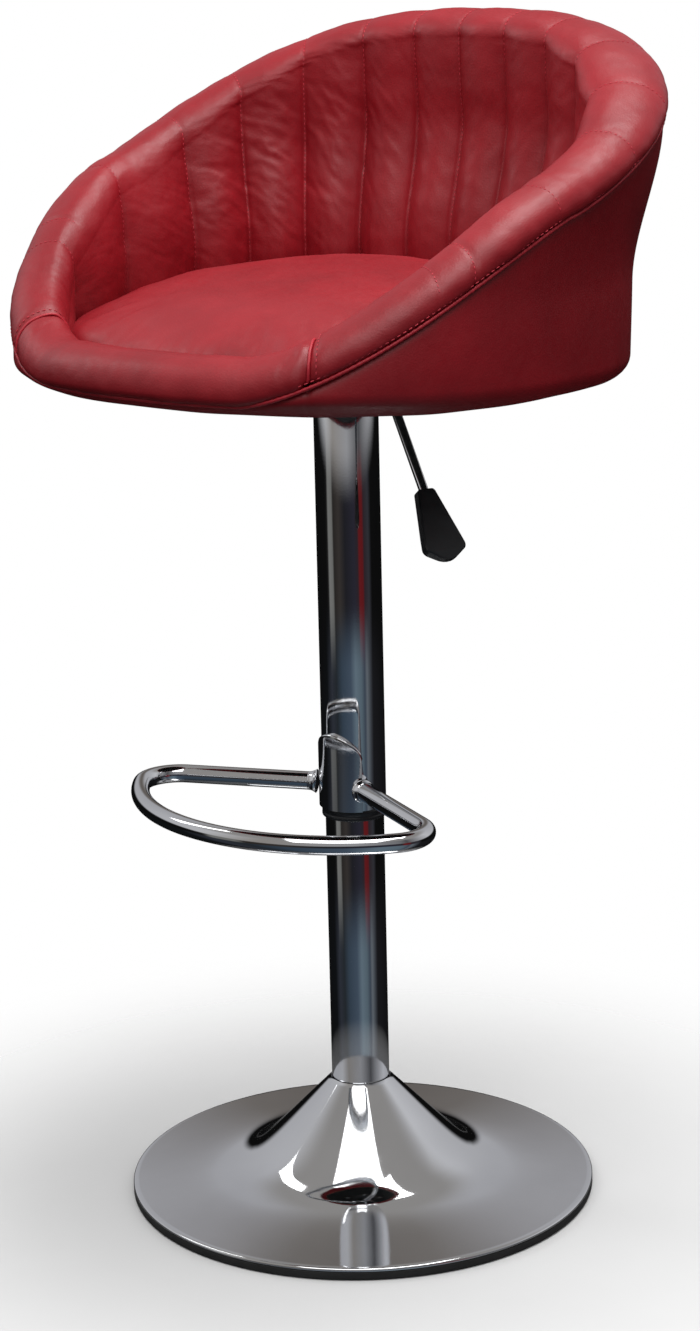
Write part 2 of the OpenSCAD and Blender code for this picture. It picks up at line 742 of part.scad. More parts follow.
// Height of a row of the shell and the pad, and how far in the shell clears the cover there.
function row_z(t, u) = let (low = board_top + gap) low + (seam_z(t) - soft_gap - low) * u;
function inside(t, u) =
    let (w = edge_w(t), c = max(0, (seat_z + edge_h(t) - row_z(t, u)) / (edge_h(t) - cover_t)))
    w - (w - cover_t) * sqrt(1 - c * c) + soft_gap;
function shell_section(t) =
    concat(
        [for (u = wall_shares) [inside(t, u), row_z(t, u)]],
        [for (i = [len(wall_shares) - 1 : -1 : 0]) let (u = wall_shares[i])
            [inside(t, u) + shell_t, row_z(t, u)]]);

// The pad's face runs from its foot on the board up to the full width of the rim.
function pad_foot(t) = rim_t + rim_spread * arm_rise(t) * 0.7;
function pad_face(t, u) = pad_foot(t) + (2 * rim_wide(t) - pad_foot(t)) * ease(u) + pad_bulge * sin(180 * u);
function pad_section(t) =
    concat(
        [for (u = wall_shares) [inside(t, u) + shell_t + gap, row_z(t, u)]],
        [for (i = [len(wall_shares) - 1 : -1 : 0]) let (u = wall_shares[i]) [pad_face(t, u), row_z(t, u)]]);

// The top half of a rim's section: an ellipse that stands proud of the wall outside.
function rim_top(t) =
    let (h = rim_half(t), w = rim_wide(t), mid = crest_z(t) - h)
    [for (a = [0 : 22.5 : 180]) [w - rim_out / 2 - (w + rim_out / 2) * cos(a), mid + h * sin(a)]];
function rim_section(t) =
    let (low = seam_z(t) + gap / 2)
    concat([[1, low]], rim_top(t), [[2 * rim_wide(t) - rim_out - 1, low]]);

// The front roll reaches down to the board, inside the cover.
function front_section(t) =
    let (low = seam_z(t) + gap / 2, foot = board_top + gap, w = edge_w(t), turn = seam_angle(t),
        seam_in = w * (1 - sin(turn)), back = 2 * rim_wide(t) - rim_out - 1,
        hem_in = w - (w - cover_t) * sin(turn),
        hem_z = seat_z + edge_h(t) - (edge_h(t) - cover_t) * cos(turn))
    concat(
        [[back, foot], [w, foot], [hem_in, max(low, hem_z + gap)], [seam_in, low]],
        rim_top(t));

module rim_roll() {
    color("firebrick")
    open_loop(around(function(t) rim_section(t), rim_angles));
}

module front_roll() {
    color("firebrick")
    open_loop(around(function(t) front_section(t), front_angles));
}

module outer_cover() {
    color("darkred")
    closed_loop(around(function(t) cover_section(t), ring_angles));
}

module bucket_shell() {
    color("burlywood")
    open_loop(around(function(t) shell_section(t), wall_angles));
}

module back_pad() {
    color("brown")
    open_loop(around(function(t) pad_section(t), wall_angles), true);
}

module seat_board() {
    color("burlywood")
    difference() {
        translate([0, 0, board_z]) linear_extrude(height = board_t)
        polygon([for (t = ring_angles) outline(t) - (edge_w(t) + 3) * outward(t)]);
        bolt_places() translate([0, 0, board_z - 1]) cylinder(d = seat_bolt_d + 3, h = board_t + 2, $fn = 32);
        bolt_places() translate([0, 0, board_top - 1.5]) cylinder(d = seat_bolt_d * 2.4, h = 3, $fn = 48);
    }
}

module dust_cover() {
    cut = flange_half + 1;
    color("#202020")
    difference() {
        translate([0, 0, board_z - 1]) linear_extrude(height = 1)
        polygon([for (t = ring_angles) outline(t) - (edge_w(t) + tuck_w + soft_gap) * outward(t)]);
        translate([-cut, -cut, board_z - 2]) cube([2 * cut, 2 * cut, 3]);
    }
}

// The cushion: rings that shrink towards its middle while they rise to the crown.
module seat_cushion() {
    middle = [0, -seat_offset];
    steps = turn_steps;
    base = board_top + gap;
    function side_h(t) = cushion_front + cushion_rise * (1 - cos(t)) / 2;
    function reach(t) = pad_face(t, min(0.8, side_h(t) / max(1, seam_z(t) - soft_gap - base))) + soft_gap;
    function edge(t) = outline(t) - reach(t) * outward(t);
    function ring(k, up) = [for (t = ring_angles)
        let (p = middle + (edge(t) - middle) * k)
        [p[0], p[1], base + up(t)]];
    rings = [
        ring(0.96, function(t) 0),
        ring(1, function(t) 6),
        ring(1, function(t) side_h(t) - 8),
        ring(0.97, function(t) side_h(t)),
        for (k = [0.86, 0.7, 0.45, 0.2]) ring(k, function(t)
            side_h(t) * k + (cushion_front + cushion_rise * 0.7) * (1 - k)
            + cushion_crown * 0.55 * (1 - k * k))];
    n = len(rings);
    color("firebrick")
    polyhedron(points = [for (r = rings) each r],
        faces = concat(
            [for (i = [0 : n - 2], j = [0 : steps - 1])
                each let (a = i * steps + j, b = i * steps + (j + 1) % steps,
                    c = (i + 1) * steps + (j + 1) % steps, d = (i + 1) * steps + j)
                [[a, c, b], [a, d, c]]],
            [[for (j = [0 : steps - 1]) j]],
            [for (j = [1 : steps - 2]) [(n - 1) * steps, (n - 1) * steps + j + 1, (n - 1) * steps + j]]),
        convexity = 4);
}

base_dish();
floor_ring();
ballast_plate();
lower_tube();
column_foot();
foot_bolts();
foot_washers();
tube_plug();
guide_bush();
lower_race();
bearing_balls();
ball_cage();
upper_race();
piston_rod();
piston_head();
rod_clip();
rubber_buffer();
pressure_tube();
tube_gland();
release_valve();
upper_sleeve();
sleeve_bush();
footrest_bar();
footrest_saddle();
mounting_pan();
pan_socket();
seat_bolts();
seat_washers();
tee_nuts();
lever_bracket();
lever_pin();
release_pin();
lever_rocker();
lever_rod();
lever_paddle();
seat_board();
dust_cover();
outer_cover();
bucket_shell();
back_pad();
rim_roll();
front_roll();
seat_cushion();
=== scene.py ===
"""A gas-lift bar stool with a padded red leather bucket seat, chrome column, footrest and dish base."""
import json
import math

import bmesh
import bpy
import numpy as np
from mathutils import Matrix, Vector, noise


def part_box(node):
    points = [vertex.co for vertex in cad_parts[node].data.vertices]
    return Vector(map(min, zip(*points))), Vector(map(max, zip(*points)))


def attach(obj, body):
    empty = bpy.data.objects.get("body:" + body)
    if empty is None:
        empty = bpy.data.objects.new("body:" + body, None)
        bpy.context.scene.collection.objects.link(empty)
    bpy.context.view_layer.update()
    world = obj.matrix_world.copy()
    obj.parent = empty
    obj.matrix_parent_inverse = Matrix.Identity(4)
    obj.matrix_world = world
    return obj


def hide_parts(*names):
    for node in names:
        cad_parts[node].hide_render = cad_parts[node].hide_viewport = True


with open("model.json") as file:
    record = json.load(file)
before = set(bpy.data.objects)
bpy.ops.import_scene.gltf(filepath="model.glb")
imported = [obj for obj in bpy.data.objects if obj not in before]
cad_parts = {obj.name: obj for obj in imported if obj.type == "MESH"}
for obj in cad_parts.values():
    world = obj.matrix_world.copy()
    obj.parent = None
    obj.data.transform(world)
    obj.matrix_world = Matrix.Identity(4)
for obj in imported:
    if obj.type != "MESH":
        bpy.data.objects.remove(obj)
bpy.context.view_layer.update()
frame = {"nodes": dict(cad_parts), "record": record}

# ---------------------------------------------------------------- the bucket's shape, in metres
SEAT_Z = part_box("outer_cover")[0].z                # the seat's underside
BOARD_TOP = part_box("seat_board")[1].z + 0.0005     # the padding stands just off the board
HALF_W, REACH_F, REACH_B = 0.248, 0.229, 0.226     # the outline's half width, and its reach forwards and back
MIDDLE_Y = -0.032                                  # the outline's middle, in front of the column
FRONT_POWER, BACK_POWER = 2.3, 2.5                 # how square the outline is: 2 would be an ellipse
FRONT_H, BACK_H = 0.045, 0.290                     # the rim's crest above the underside
ARM_START, ARM_POWER = 22, 0.7                     # where the arms start to rise, and how steeply
LEAN, SIDE_LEAN = 0.030, 0.3                       # the wall's lean outwards, and the front's share of it
WALL_FOOT, FLARE_H = 0.076, 0.130                  # where the lean starts, and the height it takes
RIM_T, RIM_OUT, SEAM_DROP = 0.054, 0.004, 0.004    # the rim, how far it stands out, its seam below it
RIM_THINNER, RIM_SPREAD = 0.003, 0.011             # how much flatter and wider each half is at the back
EDGE_R = 0.016                                     # the foot's rounded edge
FRONT_EDGE_W, FRONT_EDGE_H = 0.030, 0.022          # the same at the front
COVER_T = 0.002
ARM_SLIM, BACK_SLIM = 0.017, 0.005                 # how much thinner the padding is at arms and back
FRONT_HALF_ANGLE = 36                              # where the front roll meets the rim
CROSS_SEAM_ANGLE = 110                             # where a seam crosses the rim, from the back's middle
CHANNEL_W, CHANNEL_DEPTH = 0.0465, 0.0130          # a sewn channel, along the back's inner face
WIDE_CHANNELS = (0.075, 0.080)                     # the two wider ones at each side


def signed_pow(v, p):
    return np.sign(v) * np.abs(v) ** p


def outline(t):
    """The bucket's outline at its foot. t is in degrees: 0 is the front, 90 the +X side."""
    a = np.radians(t)
    front = np.cos(a) > 0
    p = np.where(front, 2 / FRONT_POWER, 2 / BACK_POWER)
    reach = np.where(front, REACH_F, REACH_B)
    x = HALF_W * signed_pow(np.sin(a), p)
    y = MIDDLE_Y - reach * signed_pow(np.cos(a), p)
    return np.stack([x, y], -1)


def outward(t):
    d = outline(t + 0.5) - outline(t - 0.5)
    d /= np.linalg.norm(d, axis=-1, keepdims=True)
    return np.stack([d[..., 1], -d[..., 0]], -1)


def ease(u):
    v = np.clip(u, 0, 1)
    return v * v * (3 - 2 * v)


def from_front(t):
    """Degrees from straight ahead, to either side."""
    return np.abs((np.asarray(t, float) + 180) % 360 - 180)


def arm_rise(t):
    """How far the rim has risen: 0 across the front, 1 at the back's middle."""
    u = np.clip((from_front(t) - ARM_START) / (180 - ARM_START), 0, 1) * np.pi
    return ((1 - np.cos(u)) / 2) ** ARM_POWER


def crest_z(t):
    return SEAT_Z + FRONT_H + (BACK_H - FRONT_H) * arm_rise(t)


def rim_half(t):
    return RIM_T / 2 - RIM_THINNER * arm_rise(t)


def rim_wide(t):
    return RIM_T / 2 + RIM_SPREAD * np.sqrt(arm_rise(t))


def seam_z(t):
    return crest_z(t) - rim_half(t) - SEAM_DROP * (2 - arm_rise(t))


def edge_w(t):
    return EDGE_R + (FRONT_EDGE_W - EDGE_R) * (1 - np.minimum(1, 2 * arm_rise(t)))


def edge_h(t):
    return EDGE_R + (FRONT_EDGE_H - EDGE_R) * (1 - np.minimum(1, 2 * arm_rise(t)))


def pad_foot(t):
    """The inner pad's depth where it stands on the board."""
    return RIM_T + RIM_SPREAD * 0.7 * arm_rise(t)


def slimmer(t):
    """How much thinner the padding is on its inner side: nothing in front, most along the arms."""
    a = from_front(t)
    back = ease((a - 84) / 60)
    return ARM_SLIM * ease((a - 8) / 36) * (1 - back) + BACK_SLIM * back


def bucket_point(t, d, z):
    """A point d inwards from the wall's outer face at height z. The wall leans out as it rises."""
    share = SIDE_LEAN + (1 - SIDE_LEAN) * arm_rise(t)
    lean = LEAN * share * ease((z - SEAT_Z - WALL_FOOT) / FLARE_H)
    xy = outline(t) + outward(t) * (lean - d)[..., None]
    return np.concatenate([xy, np.asarray(z)[..., None]], -1)


def seam_angle(t):
    """Angle round the foot's edge, from its lowest point, at which the outer seam cuts it."""
    return np.arccos(np.clip(1 - (seam_z(t) - SEAT_Z) / edge_h(t), 0, 1))


def run_along(points):
    """Distance along a row of points to each of them."""
    return np.concatenate([[0], np.cumsum(np.linalg.norm(np.diff(points, axis=0), axis=1))])


def face_lengths():
    """Angles round the back's inner face and the arc length from the back's middle to each."""
    turn = np.linspace(0, 360, 2881)
    face = outline(turn) - outward(turn) * pad_foot(turn)[:, None]
    run = run_along(face)
    return turn, run - np.interp(180, turn, run)


FACE_TURN, FACE_RUN = face_lengths()


def angle_at(s):
    return np.interp(s, FACE_RUN, FACE_TURN)


def length_at(t):
    return float(np.interp(t % 360, FACE_TURN, FACE_RUN))


def channel_seams():
    """Places of the sewn seams along the inner face, by arc length from the back's middle."""
    one_side = [CHANNEL_W * k for k in range(1, 6)]
    for width in WIDE_CHANNELS:
        one_side.append(one_side[-1] + width)
    return sorted([-s for s in one_side] + [0.0] + one_side)


SEAMS = channel_seams()


# ---------------------------------------------------------------- mesh helpers
def mesh_object(name, points, faces):
    mesh = bpy.data.meshes.new(name)
    mesh.from_pydata([tuple(p) for p in points], [], [tuple(f) for f in faces])
    mesh.validate()
    mesh.update()
    mesh.shade_smooth()
    piece = bpy.data.objects.new(name, mesh)
    bpy.context.scene.collection.objects.link(piece)
    return piece


def grid_faces(rows, cols, close_rows, close_cols):
    i, j = np.meshgrid(np.arange(rows if close_rows else rows - 1),
                       np.arange(cols if close_cols else cols - 1), indexing="ij")
    k, m = (i + 1) % rows, (j + 1) % cols
    return np.stack([i * cols + j, i * cols + m, k * cols + m, k * cols + j], -1).reshape(-1, 4)


def loop_object(name, grid, close_rows=False):
    """A closed solid from rings: grid is (rings, points on a ring, 3). Open ends are capped."""
    rows, cols = grid.shape[:2]
    faces = [list(f) for f in grid_faces(rows, cols, close_rows, True)]
    if not close_rows:
        faces.append(list(range(cols))[::-1])
        faces.append([(rows - 1) * cols + j for j in range(cols)])
    piece = mesh_object(name, grid.reshape(-1, 3), faces)
    fix_normals(piece)
    return piece


def fix_normals(piece, fill_holes=False):
    bm = bmesh.new()
    bm.from_mesh(piece.data)
    if fill_holes:
        bmesh.ops.holes_fill(bm, edges=[e for e in bm.edges if e.is_boundary], sides=0)
    bmesh.ops.recalc_face_normals(bm, faces=bm.faces)
    bm.to_mesh(piece.data)
    bm.free()


def sharpen(piece, degrees):
    piece.data.set_sharp_from_angle(angle=math.radians(degrees))


def revolve(name, profile, segments):
    """A solid of revolution about Z from a closed profile of (radius, height)."""
    turn = np.linspace(0, 2 * np.pi, segments, endpoint=False)
    r, z = np.array(profile).T
    grid = np.stack([np.cos(turn)[:, None] * r, np.sin(turn)[:, None] * r,
                     np.broadcast_to(z, (segments, len(r)))], -1)
    piece = loop_object(name, grid, close_rows=True)
    sharpen(piece, 40)
    return piece


def round_rings(path, along, radius, sides):
    """A ring round each point of a path, square to its direction. radius is one number or one a point."""
    along = along / np.linalg.norm(along, axis=1, keepdims=True)
    side = np.cross(along, (0, 0, 1.0))
    side /= np.linalg.norm(side, axis=1, keepdims=True)
    top = np.cross(side, along)
    a = np.linspace(0, 2 * np.pi, sides, endpoint=False)
    radius = np.broadcast_to(radius, len(path))[:, None, None]
    return path[:, None] + radius * (np.cos(a)[None, :, None] * side[:, None]
                                     + np.sin(a)[None, :, None] * top[:, None])


def sweep(name, path, radius, sides):
    """A round bar along a path with two ends."""
    path = np.asarray(path, float)
    return loop_object(name, round_rings(path, np.gradient(path, axis=0), radius, sides))


def sweep_ring(name, path, radius):
    """A closed round cord through the points, with the small bites of its stitches."""
    along = np.roll(path, -1, 0) - np.roll(path, 1, 0)
    bite = 1 + 0.12 * np.sin(np.arange(len(path)) * 2 * np.pi / 3)
    return loop_object(name, round_rings(path, along, radius * bite, 10), close_rows=True)


def arc(centre, radius, start, end, steps):
    a = np.radians(np.linspace(start, end, steps))
    return [(centre[0] + radius * math.cos(v), centre[1] + radius * math.sin(v)) for v in a]


def noise_at(points, scale, seed, octaves=3):
    """Smooth noise, about -1 to 1, at each point of an array of any shape."""
    shift = Vector((seed * 13.7, seed * 5.1, seed * 9.3))
    out = [noise.fractal(Vector(p) * scale + shift, 0.9, 2.1, octaves) for p in points.reshape(-1, 3)]
    return np.array(out).reshape(points.shape[:-1])


def vertex_values(piece, kind):
    """Each vertex's place ("co") or direction ("normal")."""
    values = np.empty(len(piece.data.vertices) * 3)
    piece.data.vertices.foreach_get(kind, values)
    return values.reshape(-1, 3)


# ---------------------------------------------------------------- materials
def new_material(name):
    mat = bpy.data.materials.new(name)
    mat.use_nodes = True
    tree = mat.node_tree
    shader = tree.nodes["Principled BSDF"]
    return mat, tree, shader


def add(tree, kind, **values):
    node = tree.nodes.new(kind)
    for key, value in values.items():
        if key in node.inputs:
            node.inputs[key].default_value = value
        else:
            setattr(node, key, value)
    return node


def coords(tree):
    return tree.nodes.new("ShaderNodeTexCoord").outputs["Object"]


def noise_node(tree, scale, detail=4.0, rough=0.55, stretch=None):
    node = add(tree, "ShaderNodeTexNoise", Scale=scale, Detail=detail, Roughness=rough)
    where = coords(tree)
    if stretch:
        mapping = add(tree, "ShaderNodeMapping", Scale=stretch)
        tree.links.new(where, mapping.inputs["Vector"])
        where = mapping.outputs["Vector"]
    tree.links.new(where, node.inputs["Vector"])
    return node.outputs["Fac"]


def ramp(tree, source, stops):
    node = tree.nodes.new("ShaderNodeValToRGB")
    elements = node.color_ramp.elements
    while len(elements) < len(stops):
        elements.new(0.5)
    for element, (place, colour) in zip(elements, stops):
        element.position = place
        element.color = (*colour, 1)
    tree.links.new(source, node.inputs["Fac"])
    return node.outputs["Color"]


def remap(tree, source, low, high, new_low=0.0, new_high=1.0, kind="LINEAR"):
    """Maps low to high onto new_low to new_high."""
    node = add(tree, "ShaderNodeMapRange", interpolation_type=kind)
    for socket, number in (("From Min", low), ("From Max", high), ("To Min", new_low), ("To Max", new_high)):
        node.inputs[socket].default_value = number
    tree.links.new(source, node.inputs["Value"])
    return node.outputs["Result"]


def spread(tree, noise_source, low, high):
    return remap(tree, noise_source, 0.3, 0.7, low, high)


def between(tree, source, low, high):
    return remap(tree, source, low, high, kind="SMOOTHSTEP")


def mix_shaders(tree, factor, first, second):
    node = tree.nodes.new("ShaderNodeMixShader")
    for socket, source in enumerate((factor, first, second)):
        tree.links.new(source, node.inputs[socket])
    return node.outputs["Shader"]


def ray_kind(tree, kind):
    """1 for rays of this kind and 0 for the others."""
    return tree.nodes.new("ShaderNodeLightPath").outputs[kind]


def bump(tree, source, distance, strength, after=None):
    node = add(tree, "ShaderNodeBump", Strength=strength, Distance=distance)
    tree.links.new(source, node.inputs["Height"])
    if after is not None:
        tree.links.new(after, node.inputs["Normal"])
    return node.outputs["Normal"]


def leather(name, deep, bright, rough):
    """Coated leather: pebbled grain, fine pores, and colour that drifts a little."""
    mat, tree, shader = new_material(name)
    drift = noise_node(tree, 14.0, 3.0)
    tree.links.new(ramp(tree, drift, [(0.3, deep), (0.7, bright)]), shader.inputs["Base Color"])
    mottled = noise_node(tree, 160.0, 5.0)
    tree.links.new(spread(tree, mottled, rough - 0.05, rough + 0.07), shader.inputs["Roughness"])
    cells = add(tree, "ShaderNodeTexVoronoi", Scale=620.0, feature="F1")
    tree.links.new(coords(tree), cells.inputs["Vector"])
    grain = bump(tree, cells.outputs["Distance"], 0.00022, 0.35)
    folds = bump(tree, noise_node(tree, 90.0, 6.0, 0.6), 0.0009, 0.22, grain)
    tree.links.new(folds, shader.inputs["Normal"])
    shader.inputs["Specular IOR Level"].default_value = 0.45
    shader.inputs["Coat Weight"].default_value = 0.06
    shader.inputs["Coat Roughness"].default_value = 0.3
    return mat


def metal(name, colour, rough, streak=(40, 40, 40), scratch=0.00002, vary=0.03):
    """Metal with faint smudges in its polish and hairline marks along one direction."""
    mat, tree, shader = new_material(name)
    shader.inputs["Metallic"].default_value = 1.0
    tint = noise_node(tree, 9.0, 3.0)
    dull = tuple(c * 0.93 for c in colour)
    tree.links.new(ramp(tree, tint, [(0.35, dull), (0.65, colour)]), shader.inputs["Base Color"])
    smudge = noise_node(tree, 30.0, 5.0, 0.6)
    tree.links.new(spread(tree, smudge, max(0.01, rough - vary), rough + vary),
                   shader.inputs["Roughness"])
    marks = noise_node(tree, 12.0, 6.0, 0.7, streak)
    tree.links.new(bump(tree, marks, scratch, 0.5), shader.inputs["Normal"])
    return mat


def moulded(name, colour, rough, grain_scale, grain_depth, metallic=0.0, light=1.6):
    """Moulded plastic, rubber, paint or cast metal: a fine grain and a slightly uneven tone."""
    mat, tree, shader = new_material(name)
    shader.inputs["Metallic"].default_value = metallic
    lighter = tuple(min(1, c * light) for c in colour)
    tone = noise_node(tree, 35.0, 5.0)
    tree.links.new(ramp(tree, tone, [(0.35, colour), (0.7, lighter)]), shader.inputs["Base Color"])
    tree.links.new(spread(tree, noise_node(tree, 120.0), rough - 0.06, rough + 0.08),
                   shader.inputs["Roughness"])
    grain = bump(tree, noise_node(tree, grain_scale, 3.0), grain_depth, 0.6)
    tree.links.new(grain, shader.inputs["Normal"])
    return mat


def plywood(name):
    mat, tree, shader = new_material(name)
    grain = noise_node(tree, 9.0, 8.0, 0.6, (1, 14, 60))
    colours = [(0.3, (0.36, 0.21, 0.1)), (0.55, (0.55, 0.37, 0.2)), (0.75, (0.66, 0.48, 0.29))]
    tree.links.new(ramp(tree, grain, colours), shader.inputs["Base Color"])
    tree.links.new(spread(tree, grain, 0.5, 0.7), shader.inputs["Roughness"])
    tree.links.new(bump(tree, grain, 0.0002, 0.5), shader.inputs["Normal"])
    return mat


def lining(name):
    """Black non-woven cloth under the seat."""
    mat, tree, shader = new_material(name)
    fibres = noise_node(tree, 700.0, 8.0, 0.7)
    tree.links.new(ramp(tree, fibres, [(0.35, (0.008,) * 3), (0.7, (0.035,) * 3)]),
                   shader.inputs["Base Color"])
    shader.inputs["Roughness"].default_value = 0.95
    shader.inputs["Sheen Weight"].default_value = 0.25
    tree.links.new(bump(tree, fibres, 0.0003, 0.6), shader.inputs["Normal"])
    return mat


MATS = {
    "red_leather": leather("red_leather", (0.25, 0.005, 0.011), (0.335, 0.008, 0.016), 0.46),
    # The welt's leather is the same red leather painted lighter: a painted highlight, so the welt reads as a
    # light line in the shade under the rim.
    "welt_leather_painted_highlight": leather("welt_leather_painted_highlight", (0.42, 0.012, 0.026), (0.52, 0.02, 0.036), 0.5),
    "thread": moulded("red_thread", (0.50, 0.03, 0.05), 0.6, 2600.0, 0.00006, light=1.3),
    "chrome": metal("chrome", (0.80, 0.81, 0.83), 0.045),
    "lever_steel": metal("lever_chrome", (0.74, 0.75, 0.76), 0.07),
    "plain_steel": metal("ground_steel", (0.50, 0.51, 0.52), 0.28, (4, 4, 80), 0.00008, 0.06),
    "zinc_steel": metal("zinc_plate", (0.58, 0.60, 0.62), 0.34, (30, 30, 30), 0.00006, 0.08),
    "brass_cage": metal("turned_brass", (0.66, 0.47, 0.19), 0.25, (4, 4, 90), 0.00008, 0.06),
    "ballast_iron": moulded("cast_iron", (0.05, 0.05, 0.054), 0.62, 260.0, 0.0006, 0.9),
    "black_paint": moulded("powder_paint", (0.013, 0.013, 0.014), 0.42, 900.0, 0.00012),
    "black_plastic": moulded("black_plastic", (0.011, 0.012, 0.014), 0.36, 1100.0, 0.00008),
    "ring_rubber": moulded("black_rubber", (0.010, 0.010, 0.010), 0.7, 500.0, 0.0002),
    "plywood": plywood("plywood"),
    "lining_cloth": lining("lining_cloth"),
}


def dress(piece, slot, body, material=None):
    """Gives a new piece its material, taken from its record slot unless another is named, and the body it
    rides on.
    """
    piece.data.materials.clear()
    piece.data.materials.append(MATS[material or slot])
    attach(piece, body)
    return piece


def dress_cad_nodes():
    slots = {s["node"]: s["material_slot"] for s in frame["record"]["subparts"]}
    for name, node in frame["nodes"].items():
        node.data.materials.clear()
        node.data.materials.append(MATS[slots[name]])


# ---------------------------------------------------------------- camera, floor and light
AZIMUTH, PITCH, ROLL = math.radians(41), math.radians(14), math.radians(1.3)
DISTANCE, HEIGHT, SIDE_STEP = 2.434, 1.082, -0.0013
SENSOR, LENS = 36.0, 79.1


def make_camera():
    data = bpy.data.cameras.new("camera")
    data.sensor_width, data.lens = SENSOR, LENS
    data.clip_start, data.clip_end = 0.05, 60
    camera = bpy.data.objects.new("camera", data)
    bpy.context.scene.collection.objects.link(camera)
    right = Vector((math.cos(AZIMUTH), math.sin(AZIMUTH), 0))
    level = Vector((-math.sin(AZIMUTH), math.cos(AZIMUTH), 0))
    ahead = level * math.cos(PITCH) - Vector((0, 0, math.sin(PITCH)))
    up = right.cross(ahead)
    x_axis = right * math.cos(ROLL) - up * math.sin(ROLL)
    y_axis = right * math.sin(ROLL) + up * math.cos(ROLL)
    place = right * SIDE_STEP - level * DISTANCE + Vector((0, 0, HEIGHT))
    camera.matrix_world = Matrix((
        (x_axis.x, y_axis.x, -ahead.x, place.x), (x_axis.y, y_axis.y, -ahead.y, place.y),
        (x_axis.z, y_axis.z, -ahead.z, place.z), (0, 0, 0, 1)))
    bpy.context.scene.camera = camera


def make_floor():
    """A pale round floor that fades into the white behind it, and that polished metal hardly mirrors."""
    radius, sides = 1.5, 96
    steps = np.linspace(0, 2 * np.pi, sides, endpoint=False)
    ring = [(radius * math.cos(a), radius * math.sin(a), 0) for a in steps]
    floor = mesh_object("floor", ring, [list(range(sides))])
    mat, tree, shader = new_material("pale_floor")
    tone = noise_node(tree, 3.0, 4.0)
    tree.links.new(ramp(tree, tone, [(0.3, (0.83, 0.83, 0.83)), (0.7, (0.87, 0.87, 0.87))]),
                   shader.inputs["Base Color"])
    shader.inputs["Roughness"].default_value = 0.7
    shader.inputs["Specular IOR Level"].default_value = 0.1
    far = add(tree, "ShaderNodeVectorMath", operation="LENGTH")
    tree.links.new(coords(tree), far.inputs[0])
    fade = between(tree, far.outputs["Value"], 0.22, 0.62)
    clear = tree.nodes.new("ShaderNodeBsdfTransparent")
    mirrored = add(tree, "ShaderNodeMath", operation="MULTIPLY_ADD", use_clamp=True)
    tree.links.new(ray_kind(tree, "Is Glossy Ray"), mirrored.inputs[0])
    mirrored.inputs[1].default_value = 0.85
    tree.links.new(fade, mirrored.inputs[2])
    seen = mix_shaders(tree, mirrored.outputs[0], shader.outputs["BSDF"], clear.outputs["BSDF"])
    tree.links.new(seen, tree.nodes["Material Output"].inputs["Surface"])
    floor.data.materials.append(mat)


def area_light(name, place, aim, size, power):
    data = bpy.data.lights.new(name, "AREA")
    data.shape, data.size, data.size_y = "RECTANGLE", size[0], size[1]
    data.energy = power
    light = bpy.data.objects.new(name, data)
    light.location = place
    light.rotation_euler = (Vector(aim) - Vector(place)).to_track_quat("-Z", "Y").to_euler()
    bpy.context.scene.collection.objects.link(light)


# What polished metal mirrors, by direction: (place round the room, colour), 0.5 being towards the camera.
STRIPES_HIGH = [
    (0.0, (.004,) * 3), (0.25, (.005,) * 3), (0.275, (.012,) * 3), (0.29, (.20, .20, .19)),
    (0.33, (.17, .17, .16)), (0.345, (.025, .022, .02)), (0.40, (.042, .036, .033)),
    (0.46, (.016, .016, .02)), (0.55, (.024, .023, .035)), (0.585, (.03, .02, .025)),
    (0.60, (.14, .012, .014)), (0.635, (.12, .011, .013)), (0.65, (.03, .02, .025)),
    (0.70, (.035, .035, .042)), (0.735, (.005,) * 3), (1.0, (.004,) * 3)]
STRIPES_LOW = [
    (0.0, (.005,) * 3), (0.22, (.006, .007, .008)), (0.28, (.03, .034, .045)), (0.34, (.02, .025, .03)),
    (0.40, (.04, .06, .085)), (0.49, (.06, .085, .12)), (0.54, (.13, .18, .22)), (0.60, (.10, .14, .17)),
    (0.635, (.05, .065, .09)), (0.66, (.13, .15, .17)), (0.70, (.05, .055, .065)), (0.73, (.012, .012, .014)),
    (1.0, (.004,) * 3)]
SKY_ROUND = [
    (0.0, (.13, .115, .105)), (0.012, (.17, .155, .145)), (0.032, (.42, .42, .44)), (0.15, (.50, .50, .52)),
    (0.27, (.55, .55, .56)), (0.36, (.30, .28, .26)), (0.5, (.34, .34, .35)), (0.62, (.08, .08, .085)),
    (0.70, (.30, .30, .31)), (0.80, (.60, .60, .62)), (0.968, (.42, .42, .44)), (0.988, (.17, .155, .145)),
    (1.0, (.13, .115, .105))]


def mix_colour(tree, factor, first, second):
    node = tree.nodes.new("ShaderNodeMix")
    node.data_type = "RGBA"
    sockets = {s.identifier: s for s in node.inputs}
    tree.links.new(factor, sockets["Factor_Float"])
    tree.links.new(first, sockets["A_Color"])
    tree.links.new(second, sockets["B_Color"])
    return {s.identifier: s for s in node.outputs}["Result_Color"]


